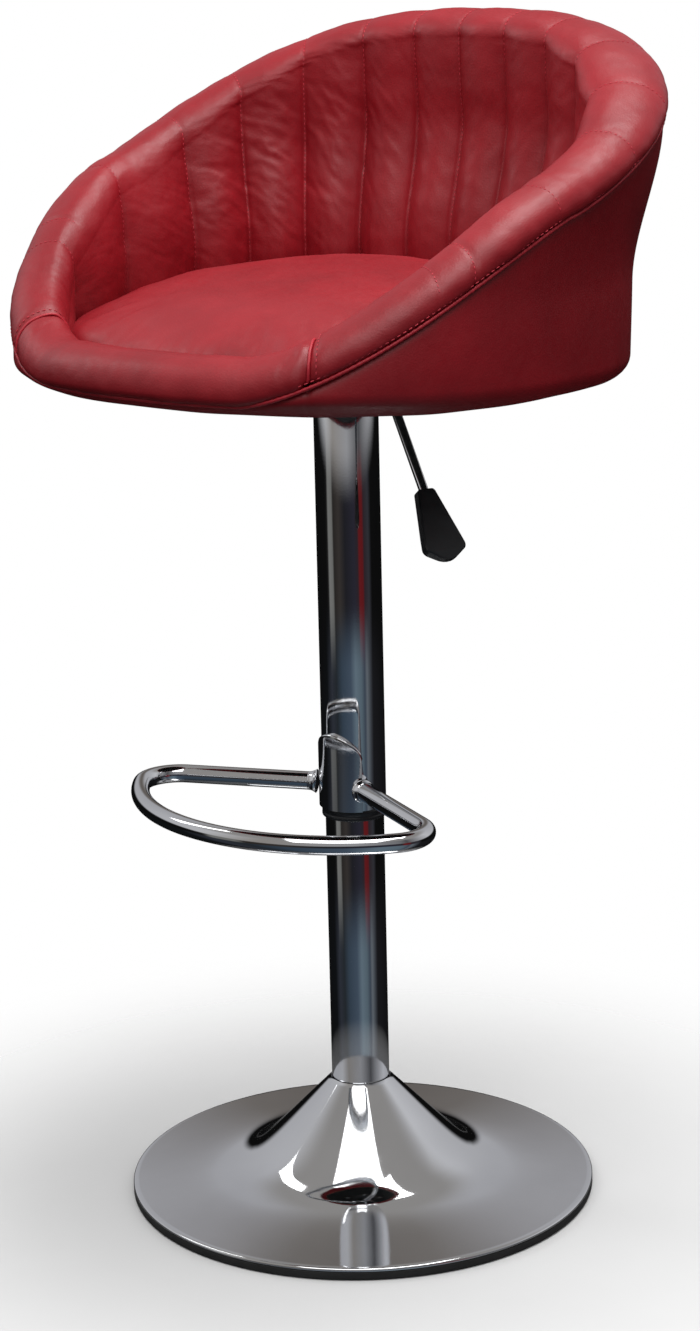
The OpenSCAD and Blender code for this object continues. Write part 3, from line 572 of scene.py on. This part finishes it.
def make_world():
    """A dim room with a bright ceiling for the metal to mirror, behind a white backdrop."""
    world = bpy.data.worlds.new("studio")
    bpy.context.scene.world = world
    world.use_nodes = True
    tree = world.node_tree
    back = tree.nodes["Background"]
    turned = add(tree, "ShaderNodeVectorRotate", rotation_type="Z_AXIS", Angle=-AZIMUTH + math.pi / 2)
    tree.links.new(tree.nodes.new("ShaderNodeTexCoord").outputs["Generated"], turned.inputs["Vector"])
    split = tree.nodes.new("ShaderNodeSeparateXYZ")
    tree.links.new(turned.outputs["Vector"], split.inputs["Vector"])
    turn = add(tree, "ShaderNodeMath", operation="ARCTAN2")
    tree.links.new(split.outputs["Y"], turn.inputs[0])
    tree.links.new(split.outputs["X"], turn.inputs[1])
    place, height = remap(tree, turn.outputs[0], -math.pi, math.pi), split.outputs["Z"]
    walls = mix_colour(tree, between(tree, height, -0.36, -0.20),
                       ramp(tree, place, STRIPES_LOW), ramp(tree, place, STRIPES_HIGH))
    ceiling = add(tree, "ShaderNodeRGB")
    ceiling.outputs[0].default_value = (0.30, 0.29, 0.28, 1)
    sky = mix_colour(tree, between(tree, height, 0.55, 0.80),
                     ramp(tree, place, SKY_ROUND), ceiling.outputs[0])
    room = mix_colour(tree, between(tree, height, 0.02, 0.16), walls, sky)
    tree.links.new(room, back.inputs["Color"])
    soft = add(tree, "ShaderNodeBackground", Strength=0.8)
    tones = [(0.0, (.07,) * 3), (0.45, (.10,) * 3), (0.6, (.28,) * 3), (1.0, (0.9,) * 3)]
    tree.links.new(ramp(tree, remap(tree, height, -1, 1), tones), soft.inputs["Color"])
    white = add(tree, "ShaderNodeBackground", Color=(1, 1, 1, 1), Strength=1.0)
    inside = mix_shaders(tree, ray_kind(tree, "Is Glossy Ray"),
                         soft.outputs["Background"], back.outputs["Background"])
    seen = mix_shaders(tree, ray_kind(tree, "Is Camera Ray"), inside, white.outputs["Background"])
    tree.links.new(seen, tree.nodes["World Output"].inputs["Surface"])


def make_studio():
    make_camera()
    make_floor()
    make_world()
    seat_middle = (0, MIDDLE_Y, SEAT_Z + 0.1)
    area_light("top_box", (0.3, 0.25, 2.6), seat_middle, (1.4, 1.0), 27)
    area_light("left_box", (-1.5, -0.5, 1.9), seat_middle, (0.4, 1.0), 4)
    area_light("floor_box", (0.6, -1.0, 2.3), (0, 0, 0), (1.6, 1.6), 17)
    bpy.context.scene.view_settings.view_transform = "Standard"


# ---------------------------------------------------------------- chrome and plastic
def column_numbers():
    tube_low, tube_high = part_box("lower_tube")
    sleeve_low, sleeve_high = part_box("upper_sleeve")
    return tube_high.x, tube_low.z, tube_high.z, sleeve_high.x, sleeve_low.z, sleeve_high.z


TUBE_R, TUBE_LOW, TUBE_HIGH, SLEEVE_R, SLEEVE_LOW, SLEEVE_HIGH = column_numbers()


def make_dish():
    """The spun chrome dish, with its neck, its rolled edge and the thickness of the sheet."""
    dish_low, dish_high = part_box("base_dish")
    rim_r, ring_top = dish_high.x, dish_low.z
    neck_z, neck_slope, slope, lip, wall, blend = 0.102, 1.05, 0.1, 0.003, 0.002, 0.008

    def top(r):
        a = neck_z - neck_slope * (r - TUBE_R)
        b = ring_top + lip + slope * (rim_r - r)
        far = abs(neck_z - neck_slope * (rim_r - TUBE_R) - ring_top - lip)
        return (a + b) / 2 + math.sqrt(((a - b) / 2) ** 2 + blend ** 2) - blend ** 2 / far

    radii = np.concatenate([np.linspace(TUBE_R + 0.0016, TUBE_R + 0.07, 40),
                            np.linspace(TUBE_R + 0.074, rim_r - 0.0022, 36)])
    inner = TUBE_R + 0.0004
    collar = [(inner, top(inner) - 0.0012), (inner + 0.0002, top(inner) - 0.0004),
              (inner + 0.0007, top(inner) - 0.0001)]
    upper = [(r, top(r)) for r in radii]
    edge_z = top(rim_r) - 0.0012
    lip_round = arc((rim_r - 0.0018, edge_z - 0.0006), 0.0018, 70, 0, 6)
    skirt = [(rim_r, ring_top + 0.0006), (rim_r - 0.0005, ring_top), (rim_r - wall, ring_top)]
    under = [(r, top(r) - wall * math.hypot(1, (top(r + 5e-4) - top(r - 5e-4)) * 1e3))
             for r in radii[::-3]]
    dish = revolve("base_dish_chrome", collar + upper + lip_round + skirt + under, 240)
    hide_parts("base_dish")
    return dress(dish, "chrome", "base")


def make_floor_ring():
    """The rubber ring under the rim, with a rounded outer lip and two grip ribs below."""
    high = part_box("floor_ring")[1]
    outer, top_z = high.x, high.z
    lip = arc((outer - 0.0024, 0.0026), 0.0024, -80, 0, 6) + arc((outer - 0.0010, 0.0068), 0.0010, 0, 90, 4)
    inner = outer - 0.013
    ribs = [(inner, 0.003), (inner, 0.0006), (inner + 0.0008, 0), (inner + 0.003, 0),
            (inner + 0.0036, 0.0009), (inner + 0.0052, 0.0009), (inner + 0.0058, 0)]
    back = [(outer - 0.006, top_z), (outer - 0.006, 0.003)]
    ring = revolve("floor_ring_rubber", ribs + lip + back, 200)
    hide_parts("floor_ring")
    return dress(ring, "ring_rubber", "base")


def tube_profile(outer, wall, low, high):
    """A tube's wall, with its corners broken."""
    inner, soft = outer - wall, 0.0006
    nick = soft * 0.3
    return [(inner, low + soft), (inner + soft, low), (outer - soft, low), (outer - nick, low + nick),
            (outer, low + soft), (outer, high - soft), (outer - nick, high - nick),
            (outer - soft, high), (inner + soft, high), (inner, high - soft)]


def make_tubes():
    lower = revolve("lower_tube_chrome", tube_profile(TUBE_R, 0.002, TUBE_LOW, TUBE_HIGH), 128)
    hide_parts("lower_tube")
    dress(lower, "chrome", "base")
    upper = revolve("upper_sleeve_chrome", tube_profile(SLEEVE_R, 0.0015, SLEEVE_LOW, SLEEVE_HIGH), 128)
    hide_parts("upper_sleeve")
    dress(upper, "chrome", "seat")


def make_bush():
    """The black bush: a collar with soft corners and a groove, and a skirt inside the sleeve."""
    low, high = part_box("sleeve_bush")
    outer, bore, top_z = high.x, TUBE_R + 0.00005, SLEEVE_LOW
    profile = [(bore, high.z), (bore, low.z + 0.0012), (bore + 0.001, low.z + 0.0003), (bore + 0.0016, low.z)]
    profile += arc((outer - 0.0016, low.z + 0.0016), 0.0016, -90, 0, 5)
    middle = (low.z + top_z) / 2
    groove = [(0, -0.0012), (0.0005, -0.0006), (0.0005, 0.0006), (0, 0.0012)]
    profile += [(outer - depth, middle + rise) for depth, rise in groove]
    profile += arc((outer - 0.0009, top_z - 0.0009), 0.0009, 0, 90, 4)
    profile += [(SLEEVE_R - 0.0015, top_z), (SLEEVE_R - 0.0015, high.z)]
    bush = revolve("sleeve_bush_plastic", profile, 128)
    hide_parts("sleeve_bush")
    return dress(bush, "black_plastic", "seat")


BAR_D, BAR_REACH, BOW_R, CORNER_R, ARM_ANGLE = 0.016, 0.186, 0.182, 0.030, 25
ARM_ROOT, ARM_CLEAR = np.array([SLEEVE_R * 0.85, -SLEEVE_R * 0.65]), 0.0045
SADDLE_T, SADDLE_H, SADDLE_ROUND, SADDLE_ANGLE = 0.003, 0.068, 0.020, 56


def make_footrest():
    """One bent bar: an arm, a corner, the front bow, a corner and an arm."""
    low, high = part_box("footrest_bar")
    bar_z = (low.z + high.z) / 2
    a = math.radians(ARM_ANGLE)
    along, inwards = np.array([math.cos(a), -math.sin(a)]), np.array([-math.sin(a), -math.cos(a)])
    bow_y = BOW_R - BAR_REACH
    from_bow = ARM_ROOT + CORNER_R * inwards - np.array([0, bow_y])
    reach = -from_bow @ along + math.sqrt((from_bow @ along) ** 2 - from_bow @ from_bow
                                          + (BOW_R - CORNER_R) ** 2)
    corner = ARM_ROOT + CORNER_R * inwards + reach * along
    bow_end = math.degrees(math.atan2(corner[1] - bow_y, corner[0]))
    start = ARM_ROOT + along * ARM_CLEAR
    arm = [tuple(start + along * (reach - ARM_CLEAR) * k) for k in np.linspace(0, 1, 14)[:-1]]
    bend = arc(corner, CORNER_R, 90 - ARM_ANGLE, bow_end, 22)[:-1]
    half = arm + bend + arc((0, bow_y), BOW_R, bow_end, -90, 46)
    other = [(-x, y) for x, y in half[::-1]][1:]
    path = [(x, y, bar_z) for x, y in half + other]
    bar = sweep("footrest_bar_chrome", path, BAR_D / 2, 36)
    sharpen(bar, 50)
    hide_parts("footrest_bar")
    dress(bar, "chrome", "seat")
    make_welds(along, bar_z)


def make_welds(along, bar_z):
    """The fillet of weld where each arm meets the saddle."""
    for side, name in ((1, "weld_right"), (-1, "weld_left")):
        centre = np.array([ARM_ROOT[0] * side, ARM_ROOT[1], bar_z])
        direction = np.array([along[0] * side, along[1], 0])
        steps = np.linspace(0, 1, 9)
        line = [centre + direction * (0.0035 + 0.0062 * k) for k in steps]
        radius = [BAR_D / 2 + 0.0001 + 0.0023 * (1 - k) ** 2 for k in steps]
        weld = sweep(name, line, radius, 36)
        ripple = 0.00025
        for v in weld.data.vertices:
            turn = math.atan2(v.co.z - bar_z, v.co.y)
            v.co += Vector(direction) * ripple * math.sin(turn * 14)
        dress(weld, "chrome", "seat")


def make_saddle():
    """The bent plate that the arms are welded to: a rounded top and soft edges."""
    rows, cols, edge = 40, 48, 0.0011
    inner, outer = SLEEVE_R + 0.00002, SLEEVE_R + SADDLE_T
    across = np.linspace(-1, 1, cols)
    top = SADDLE_H - SADDLE_ROUND * (1 - (1 - np.abs(across) ** (1 / 0.6)) ** 0.6)
    down = np.linspace(0, 1, rows)[1:]

    def line(radius, tighten, height):
        turn = across * (math.radians(SADDLE_ANGLE) - tighten / radius) - math.pi / 2
        return np.stack([radius * np.cos(turn), radius * np.sin(turn), SLEEVE_LOW + height], -1)

    inside = [line(inner, 0, top * (1 - f)) for f in down[::-1]]
    crest = [line(inner, 0, top), line(outer - edge, 0, top),
             line(outer - 0.3 * edge, 0.3 * edge, top - 0.3 * edge), line(outer, edge, top - edge)]
    outside = [line(outer, edge, (top - edge) * (1 - f) + 0.0004 * f) for f in down]
    points = np.array(inside + crest + outside)
    faces = grid_faces(len(points), cols, True, False)
    saddle = mesh_object("footrest_saddle_chrome", points.reshape(-1, 3), faces)
    fix_normals(saddle, fill_holes=True)
    sharpen(saddle, 45)
    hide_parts("footrest_saddle")
    return dress(saddle, "chrome", "seat")


# ---------------------------------------------------------------- leather
def rim_arc(t, steps):
    """The rim's top half: from its inner side over the crest to its outer side."""
    h, w = rim_half(t), rim_wide(t)
    a = np.radians(np.linspace(180, 0, steps))[None, :]
    half = np.where(np.cos(a) < 0, (w + RIM_OUT / 2 - slimmer(t))[:, None], (w + RIM_OUT / 2)[:, None])
    d = (w - RIM_OUT / 2)[:, None] - half * np.cos(a)
    z = (crest_z(t) - h)[:, None] + h[:, None] * np.sin(a)
    return d, z


def stack(t, parts):
    """Joins (d, z) column blocks into points (angles, section, 3)."""
    d = np.concatenate([p[0] for p in parts], 1)
    z = np.concatenate([p[1] for p in parts], 1)
    return bucket_point(np.broadcast_to(t[:, None], d.shape), d, z)


def spaced(low, high, steps, skip_last=True):
    k = np.linspace(0, 1, steps)
    if skip_last:
        k = k[:-1]
    return low[:, None] + (high - low)[:, None] * k[None, :]


def surface_normals(grid):
    """Each point's direction out of a closed skin made of rings."""
    along = np.gradient(grid, axis=0)
    around = np.roll(grid, -1, 1) - np.roll(grid, 1, 1)
    n = np.cross(around, along)
    return n / (np.linalg.norm(n, axis=-1, keepdims=True) + 1e-12)


def channel_height(s, reach):
    """Height of the sewn channels at arc length s: 1 between seams, 0 at a seam.
    reach is how strong the seams are there, 0 to 1."""
    edges = np.array(SEAMS)
    k = np.clip(np.searchsorted(edges, s), 1, len(edges) - 1)
    left, right = edges[k - 1], edges[k]
    u = np.clip((s - left) / (right - left), 0, 1)
    puff = np.sin(np.pi * u) ** 0.75
    beyond = np.clip((np.abs(s) - edges[-1]) / 0.045, 0, 1)
    puff = np.where(np.abs(s) > edges[-1], np.sqrt(beyond * (2 - beyond)), puff)
    return 1 - reach * (1 - puff)


def make_back():
    """The sewn inner back and the rim in one closed pad: up the inside, over the crest, down to the seam."""
    start = length_at(FRONT_HALF_ANGLE + 0.2)
    columns = np.linspace(start, -start, 620)
    t = angle_at(columns)
    foot = np.full(len(t), BOARD_TOP)
    crest_low = crest_z(t) - rim_half(t)
    wall_rows, arc_rows, inner_rows = 84, 60, 14
    fraction = np.linspace(0, 1, wall_rows)[None, :-1]
    wall_z = spaced(foot, crest_low, wall_rows)
    wide = 2 * rim_wide(t)
    wall_d = pad_foot(t)[:, None] + (wide - pad_foot(t))[:, None] * ease(fraction) \
        + 0.005 * np.sin(np.pi * fraction) - slimmer(t)[:, None] * (0.75 + 0.25 * ease(fraction))
    arc_d, arc_z = rim_arc(t, arc_rows)
    hem_z = seam_z(t)
    drop = spaced(arc_z[:, -1], hem_z + 0.0004, 8, False)[:, 1:]
    bend = np.linspace(0, 1, 8)[None, 1:] ** 3
    drop_d = arc_d[:, -1:] + (0.0012 - arc_d[:, -1:]) * bend
    inside_z = spaced(hem_z + 0.0004, foot, inner_rows, False)
    inside_d = np.full(inside_z.shape, 0.011)
    grid = stack(t, [(wall_d, wall_z), (arc_d, arc_z), (drop_d, drop), (inside_d, inside_z)])
    normal = surface_normals(grid)

    face_rows = wall_rows - 1 + arc_rows
    place = np.zeros(grid.shape[1])
    place[:wall_rows - 1] = np.linspace(0, 1, wall_rows - 1)
    place[wall_rows - 1:face_rows] = np.linspace(1, 2, arc_rows)
    place[face_rows:face_rows + 7] = 2
    strength = np.interp(place, [0, 0.72, 1.0, 1.2, 1.45, 2.0], [1, 1, 0.5, 0.2, 0.07, 0.03])
    strength[face_rows + 7:] = 0
    lift = (channel_height(columns[:, None], strength[None, :]) - 1) * CHANNEL_DEPTH
    for s in SEAMS:
        groove = np.exp(-((columns[:, None] - s) / 0.0014) ** 2)
        lift -= 0.0014 * groove * np.interp(strength, [0, 0.03, 0.2, 1], [0, 0.2, 0.35, 1])[None, :]
    lift += creases(grid.shape[:2], columns, place, face_rows)
    skin = (strength > 0)[None, :]
    lift += 0.0009 * noise_at(grid, 26.0, 2.0) * skin
    for side in (-1, 1):
        cross = columns - length_at(180 + side * CROSS_SEAM_ANGLE)
        over = ease((place - 1.15) / 0.35)[None, :] * skin
        lift -= 0.0011 * np.exp(-(cross / 0.0016) ** 2)[:, None] * over
    end = np.minimum(np.abs(columns - start), np.abs(columns + start))
    lift -= 0.0030 * np.exp(-(end / 0.0045) ** 2)[:, None] * skin
    grid = grid + normal * lift[..., None]
    back = loop_object("channelled_back", grid)
    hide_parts("back_pad", "rim_roll")
    dress(back, "red_leather", "seat")
    return {"grid": grid, "normal": normal, "s": columns, "place": place, "rows": face_rows}


def creases(shape, columns, place, face_rows):
    """Slanting creases across the channels, deepest beside the seams and below the rim."""
    s = np.broadcast_to(columns[:, None], shape)
    v = np.broadcast_to(place[None, :] * 0.22, shape)
    mirror = np.where(s > 0, 1.0, -1.0)
    across = s - 0.75 * v * mirror
    along = v + 0.75 * s * mirror
    slant = np.stack([across, along * 0.22, np.full(shape, 0.3)], -1)
    folds = noise_at(slant, 78.0, 1.0)
    ridges = 0.22 - np.abs(folds)
    side = 0.16 + 0.95 * np.exp(-((s - 0.15) / 0.085) ** 2) + 0.22 * np.exp(-((s + 0.17) / 0.1) ** 2)
    band = np.exp(-((place - 0.7) / 0.36) ** 2)[None, :]
    gather = gathers(s, place)
    return (0.0024 * ridges * side * band + gather) * (np.arange(len(place)) < face_rows)[None, :]


def gathers(s, place):
    """Small tucks where the lining meets the cushion, and where the arm turns in at the front."""
    level = np.zeros(len(s))
    tuck = noise_at(np.stack([s[:, 0], level, level + 0.7], -1), 150.0, 4.0, 2)
    low = np.exp(-((place - 0.3) / 0.12) ** 2)[None, :]
    front = np.exp(-((np.abs(s) - 0.445) / 0.05) ** 2)
    inner = np.exp(-((place - 1.0) / 0.4) ** 2)[None, :]
    return tuck[:, None] * (0.0006 * low + 0.0016 * front * inner)


def foot_edge(t, seam, rows, offset=0.0):
    """The foot's rounded edge and the wall above it up to the seam, evenly spaced: (d, z)."""
    turn = seam_angle(t)[:, None] * np.linspace(0, 1, 24)[None, :]
    w, h = edge_w(t)[:, None] - offset, edge_h(t)[:, None] - offset
    d = offset + w * (1 - np.sin(turn))
    z = SEAT_Z + offset + h * (1 - np.cos(turn))
    share = np.linspace(0, 1, 30)[None, 1:]
    top = np.maximum(seam, z[:, -1])[:, None]
    wall_z = z[:, -1:] + (top - z[:, -1:]) * share
    wall_d = np.broadcast_to(d[:, -1:], wall_z.shape)
    d, z = np.concatenate([d, wall_d], 1), np.concatenate([z, wall_z], 1)
    run = np.concatenate([np.zeros((len(t), 1)), np.cumsum(np.hypot(np.diff(d), np.diff(z)), 1)], 1)
    out_d, out_z = np.empty((len(t), rows)), np.empty((len(t), rows))
    for i in range(len(t)):
        want = np.linspace(0, run[i, -1], rows)
        out_d[i], out_z[i] = np.interp(want, run[i], d[i]), np.interp(want, run[i], z[i])
    return out_d, out_z


def even_angles(count, start=0.0, end=360.0):
    """Angles evenly spaced by distance round the outline."""
    fine = np.linspace(start, end, 4000)
    run = run_along(outline(fine))
    return np.interp(np.linspace(0, run[-1], count), run, fine)


def make_cover():
    """The plain outer cover: tucked under the board, round the foot's edge and up to the seam."""
    t = even_angles(721)[:-1]
    rows = 64
    seam = seam_z(t) - 0.0004
    d, z = foot_edge(t, seam, rows)
    below = seam[:, None] - z
    d = d + 0.0013 * np.exp(-(below / 0.0045) ** 2)
    upright = 1 - ease((d - 0.001) / 0.006)
    d = d - 0.0022 * np.sin(np.pi * np.clip((z - SEAT_Z) / (seam[:, None] - SEAT_Z), 0, 1)) * upright
    for side in (-1, 1):
        cross = np.radians((t - side * FRONT_HALF_ANGLE + 180) % 360 - 180) * 0.24
        reach = np.exp(-(below / 0.02) ** 2)
        d = d + 0.0014 * np.exp(-(cross / 0.0022) ** 2)[:, None] * reach
    tuck_d = np.stack([edge_w(t) + 0.022, edge_w(t) + 0.012], 1)
    tuck_z = np.full(tuck_d.shape, SEAT_Z)
    inner_d, inner_z = foot_edge(t, seam, 20, COVER_T)
    grid = stack(t, [(tuck_d, tuck_z), (d, z), (inner_d[:, ::-1], inner_z[:, ::-1]),
                     (tuck_d[:, ::-1], tuck_z + COVER_T)])
    normal = surface_normals(grid)
    skin = np.zeros(grid.shape[1])
    skin[2:2 + rows] = 1
    waves = noise_at(grid * np.array([1, 1, 0.5]), 11.0, 6.0, 2)
    grid = grid + normal * (0.0009 * waves * skin[None, :])[..., None]
    cover = loop_object("outer_cover_leather", grid, close_rows=True)
    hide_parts("outer_cover")
    return dress(cover, "red_leather", "seat")


def make_front_roll():
    """The plain roll across the front, pinched where it is sewn to the rim on either side."""
    t = even_angles(260, -FRONT_HALF_ANGLE + 0.1, FRONT_HALF_ANGLE - 0.1)
    arc_d, arc_z = rim_arc(t, 44)
    seam = seam_z(t) + 0.0004
    seam_d = edge_w(t) * (1 - np.sin(seam_angle(t)))
    b = np.linspace(0, np.pi / 2, 14)[None, 1:]
    low_d = arc_d[:, -1:] + (seam_d[:, None] + 0.0006 - arc_d[:, -1:]) * (1 - np.cos(b)) ** 1.15
    low_z = arc_z[:, -1:] + (seam[:, None] - arc_z[:, -1:]) * np.sin(b)
    inner_side = 2 * rim_wide(t) - slimmer(t) - RIM_OUT - 0.001
    inner_d = np.stack([edge_w(t) + 0.002, edge_w(t) + 0.004, inner_side], 1)
    inner_z = np.broadcast_to([BOARD_TOP - 0.001, BOARD_TOP, BOARD_TOP], inner_d.shape)
    grid = stack(t, [(arc_d, arc_z), (low_d, low_z), (inner_d, inner_z)])
    normal = surface_normals(grid)
    skin = np.ones(grid.shape[1])
    skin[-3:] = 0
    arm = np.radians(FRONT_HALF_ANGLE - np.abs(t)) * 0.25
    pinch = -0.0030 * np.exp(-(arm / 0.0045) ** 2)
    soft = 0.0008 * noise_at(grid, 22.0, 9.0)
    fine = noise_at(grid * np.array([1.0, 0.35, 0.5]), 85.0, 8.0, 2)
    near_end = 0.0011 * np.exp(-((arm - 0.012) / 0.022) ** 2)[:, None]
    lift = (pinch[:, None] + soft + fine * near_end) * skin[None, :]
    grid = grid + normal * lift[..., None]
    roll = loop_object("front_roll_leather", grid)
    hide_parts("front_roll")
    return dress(roll, "red_leather", "seat")


# ---------------------------------------------------------------- cushion
CUSHION_FRONT, CUSHION_RISE, CUSHION_CROWN = 0.033, 0.029, 0.022


def cushion_edge(t):
    reach = pad_foot(t) + (2 * rim_wide(t) - pad_foot(t)) * ease(0.5 * arm_rise(t)) \
        + 0.005 * np.sin(np.radians(90 * arm_rise(t))) - slimmer(t)
    return outline(t) - outward(t) * (reach + 0.001 - 0.006 * np.sin(np.radians(t)) ** 2)[:, None]


def make_cushion():
    """The seat cushion: a crowned disc, blown up as cloth so its skin is stretched over the foam."""
    t = even_angles(241)[:-1]
    middle = np.array([0, MIDDLE_Y])
    edge = cushion_edge(t)
    half = np.linalg.norm(edge - middle, axis=1)
    side = CUSHION_FRONT + CUSHION_RISE * (1 - np.cos(np.radians(t))) / 2
    soft = np.minimum(0.024, side * 0.9)

    def ring(share, z):
        xy = middle + (edge - middle) * np.broadcast_to(share, len(t))[:, None]
        return np.concatenate([xy, np.broadcast_to(z, len(t))[:, None]], 1)

    rings = [ring(share, BOARD_TOP) for share in (0.65, 0.825, 1.0)]
    for a in np.radians(np.linspace(0, 90, 9)):
        inset = soft * (1 - math.cos(a))
        rings.append(ring((half - inset) / half, BOARD_TOP + side - soft + soft * math.sin(a)))
    for k in np.linspace(1, 0, 16)[1:]:
        crown = CUSHION_CROWN * 0.62 * (1 - k * k)
        z = BOARD_TOP + side.mean() + (side - side.mean()) * k + crown
        rings.append(ring((half - soft) / half * max(k, 0.02), z))
    cushion = loop_object("seat_cushion_leather", np.array(rings))
    blow_up(cushion, 0.006, 0.022)
    crease_cushion(cushion)
    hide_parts("seat_cushion")
    return dress(cushion, "red_leather", "seat")


def apply_modifiers(piece):
    depsgraph = bpy.context.evaluated_depsgraph_get()
    mesh = bpy.data.meshes.new_from_object(piece.evaluated_get(depsgraph))
    piece.modifiers.clear()
    old = piece.data
    piece.data = mesh
    bpy.data.meshes.remove(old)


def blow_up(piece, voxel, cap):
    """Remeshes a closed piece evenly, inflates it as cloth and keeps each point within cap of its start."""
    frames = 20
    remesh = piece.modifiers.new("even", "REMESH")
    remesh.mode, remesh.voxel_size = "VOXEL", voxel
    apply_modifiers(piece)
    before = vertex_values(piece, "co")
    resting = before[:, 2] < before[:, 2].min() + 0.004
    held = piece.vertex_groups.new(name="held")
    held.add([int(i) for i in np.nonzero(resting)[0]], 1.0, "REPLACE")
    cloth = piece.modifiers.new("cloth", "CLOTH")
    settings = cloth.settings
    settings.quality, settings.mass = 6, 0.25
    settings.tension_stiffness = settings.compression_stiffness = 20
    settings.shear_stiffness, settings.bending_stiffness = 10, 3.0
    settings.use_pressure, settings.uniform_pressure_force = True, 4.0
    settings.vertex_group_mass = "held"
    settings.effector_weights.gravity = 0
    cloth.point_cache.frame_start, cloth.point_cache.frame_end = 1, frames
    scene = bpy.context.scene
    for number in range(1, frames + 1):
        scene.frame_set(number)
        bpy.context.view_layer.update()
    apply_modifiers(piece)
    scene.frame_set(1)
    move = vertex_values(piece, "co") - before
    size = np.linalg.norm(move, axis=1, keepdims=True)
    kept = move * np.minimum(1, cap / np.maximum(size, 1e-9))
    piece.data.vertices.foreach_set("co", (before + kept).ravel())
    smooth = piece.modifiers.new("soft", "SMOOTH")
    smooth.factor, smooth.iterations = 0.5, 6
    finer = piece.modifiers.new("finer", "SUBSURF")
    finer.levels = finer.render_levels = 1
    apply_modifiers(piece)
    piece.data.shade_smooth()


def crease_cushion(piece):
    """Shallow pulls in the skin along the cushion's front and sides, and a soft unevenness on top."""
    co, normal = vertex_values(piece, "co"), vertex_values(piece, "normal")
    centre = co - np.array([0, MIDDLE_Y, 0])
    reach = np.hypot(centre[:, 0], centre[:, 1])
    turn = np.arctan2(centre[:, 1], centre[:, 0])
    ring = np.stack([np.cos(turn), np.sin(turn), reach * 1.2], -1)
    pulls = noise_at(ring, 16.0, 3.0, 2)
    edge = np.exp(-((reach - 0.165) / 0.022) ** 2) * (centre[:, 1] < 0.05)
    soft = noise_at(co, 16.0, 5.0)
    lift = 0.0009 * pulls * edge + 0.0007 * soft
    co = co + normal * lift[:, None]
    piece.data.vertices.foreach_set("co", co.ravel())
    piece.data.update()


# ---------------------------------------------------------------- seams and stitches
def seam_line(t, lift, rise=0.0):
    """Points along the outer seam, lift outwards of the leather and rise above the seam."""
    seam = seam_z(t)
    d = edge_w(t) * (1 - np.sin(seam_angle(t))) - lift
    return bucket_point(t, d, seam + rise)


def capsule_mesh():
    """One stitch along X: 1 long, 1 thick."""
    rings, sides = 6, 8
    points = []
    for k in np.linspace(-1, 1, rings):
        radius = math.sqrt(max(0.0, 1 - abs(k) ** 3)) * 0.5 + 0.02
        for a in np.linspace(0, 2 * np.pi, sides, endpoint=False):
            points.append((k * 0.5, radius * math.cos(a), radius * math.sin(a)))
    faces = [list(f) for f in grid_faces(rings, sides, False, True)]
    faces += [list(range(sides))[::-1], [(rings - 1) * sides + j for j in range(sides)]]
    return np.array(points), faces


def make_stitches(name, lines, length=0.0034, gap=0.0018, thick=0.0009):
    """Stitches laid end to end along lines of (points, normals), a little sunk in."""
    sink = 0.0001
    shape, shape_faces = capsule_mesh()
    points, faces = [], []
    for line, normals in lines:
        run = run_along(line)
        for place in np.arange(gap, run[-1] - length, length + gap):
            ends = [np.array([np.interp(v, run, line[:, k]) for k in range(3)])
                    for v in (place, place + length)]
            n = np.array([np.interp(place + length / 2, run, normals[:, k]) for k in range(3)])
            n /= np.linalg.norm(n)
            x = ends[1] - ends[0]
            x /= np.linalg.norm(x)
            y = np.cross(n, x)
            y /= np.linalg.norm(y)
            n = np.cross(x, y)
            middle = (ends[0] + ends[1]) / 2 + n * (thick * 0.5 - sink)
            at = len(points) * len(shape)
            points.append(middle + shape[:, :1] * length * x + shape[:, 1:2] * thick * y
                          + shape[:, 2:] * thick * 0.7 * n)
            faces += [[i + at for i in f] for f in shape_faces]
    piece = mesh_object(name, np.concatenate(points), faces)
    fix_normals(piece)
    return dress(piece, "red_leather", "seat", "thread")


def make_seams(back):
    """The welt under the rim, its stitches, the cross seams' welts and the channels' stitches."""
    t = even_angles(900)
    ring = sweep_ring("rim_welt", seam_line(t, 0.0016)[:-1], 0.0015)
    # The welt under the rim wears the lighter leather: a painted highlight along it, where it sits in shade.
    dress(ring, "red_leather", "seat", "welt_leather_painted_highlight")
    out = np.concatenate([outward(t), np.zeros((len(t), 1))], 1)
    above = seam_line(t, 0.0030, 0.0042)
    make_stitches("rim_stitches", [(above, out)])
    grid, normal, s, rows = back["grid"], back["normal"], back["s"], back["rows"]
    lines = []
    first = int(np.argmax(back["place"] > 0.16))
    for seam in SEAMS:
        i = int(np.argmin(np.abs(s - seam)))
        lines.append((grid[i, first:rows - 4], normal[i, first:rows - 4]))
    first = int(np.argmax(back["place"] > 1.3))
    for side in (-1, 1):
        i = int(np.argmin(np.abs(s - length_at(180 + side * CROSS_SEAM_ANGLE))))
        lines.append((grid[i, first:rows + 4], normal[i, first:rows + 4]))
    make_stitches("channel_stitches", lines, 0.0026, 0.0017, 0.0007)
    crosses = []
    first = int(np.argmax(back["place"] > 0.9))
    for name, i, j in (("cross_welt_left", 0, 3), ("cross_welt_right", -1, -4)):
        path = grid[i, first:rows + 5] + normal[i, first:rows + 5] * 0.0011
        welt = sweep(name, path, 0.0012, 12)
        # The cross welts wear the same lighter leather, a painted highlight.
        dress(welt, "red_leather", "seat", "welt_leather_painted_highlight")
        crosses.append((grid[j, first:rows + 4], normal[j, first:rows + 4]))
    make_stitches("cross_stitches", crosses, 0.0030, 0.0018, 0.0008)


make_studio()
dress_cad_nodes()
make_dish()
make_floor_ring()
make_tubes()
make_bush()
make_footrest()
make_saddle()
PAD = make_back()
make_cover()
make_front_roll()
make_cushion()
make_seams(PAD)
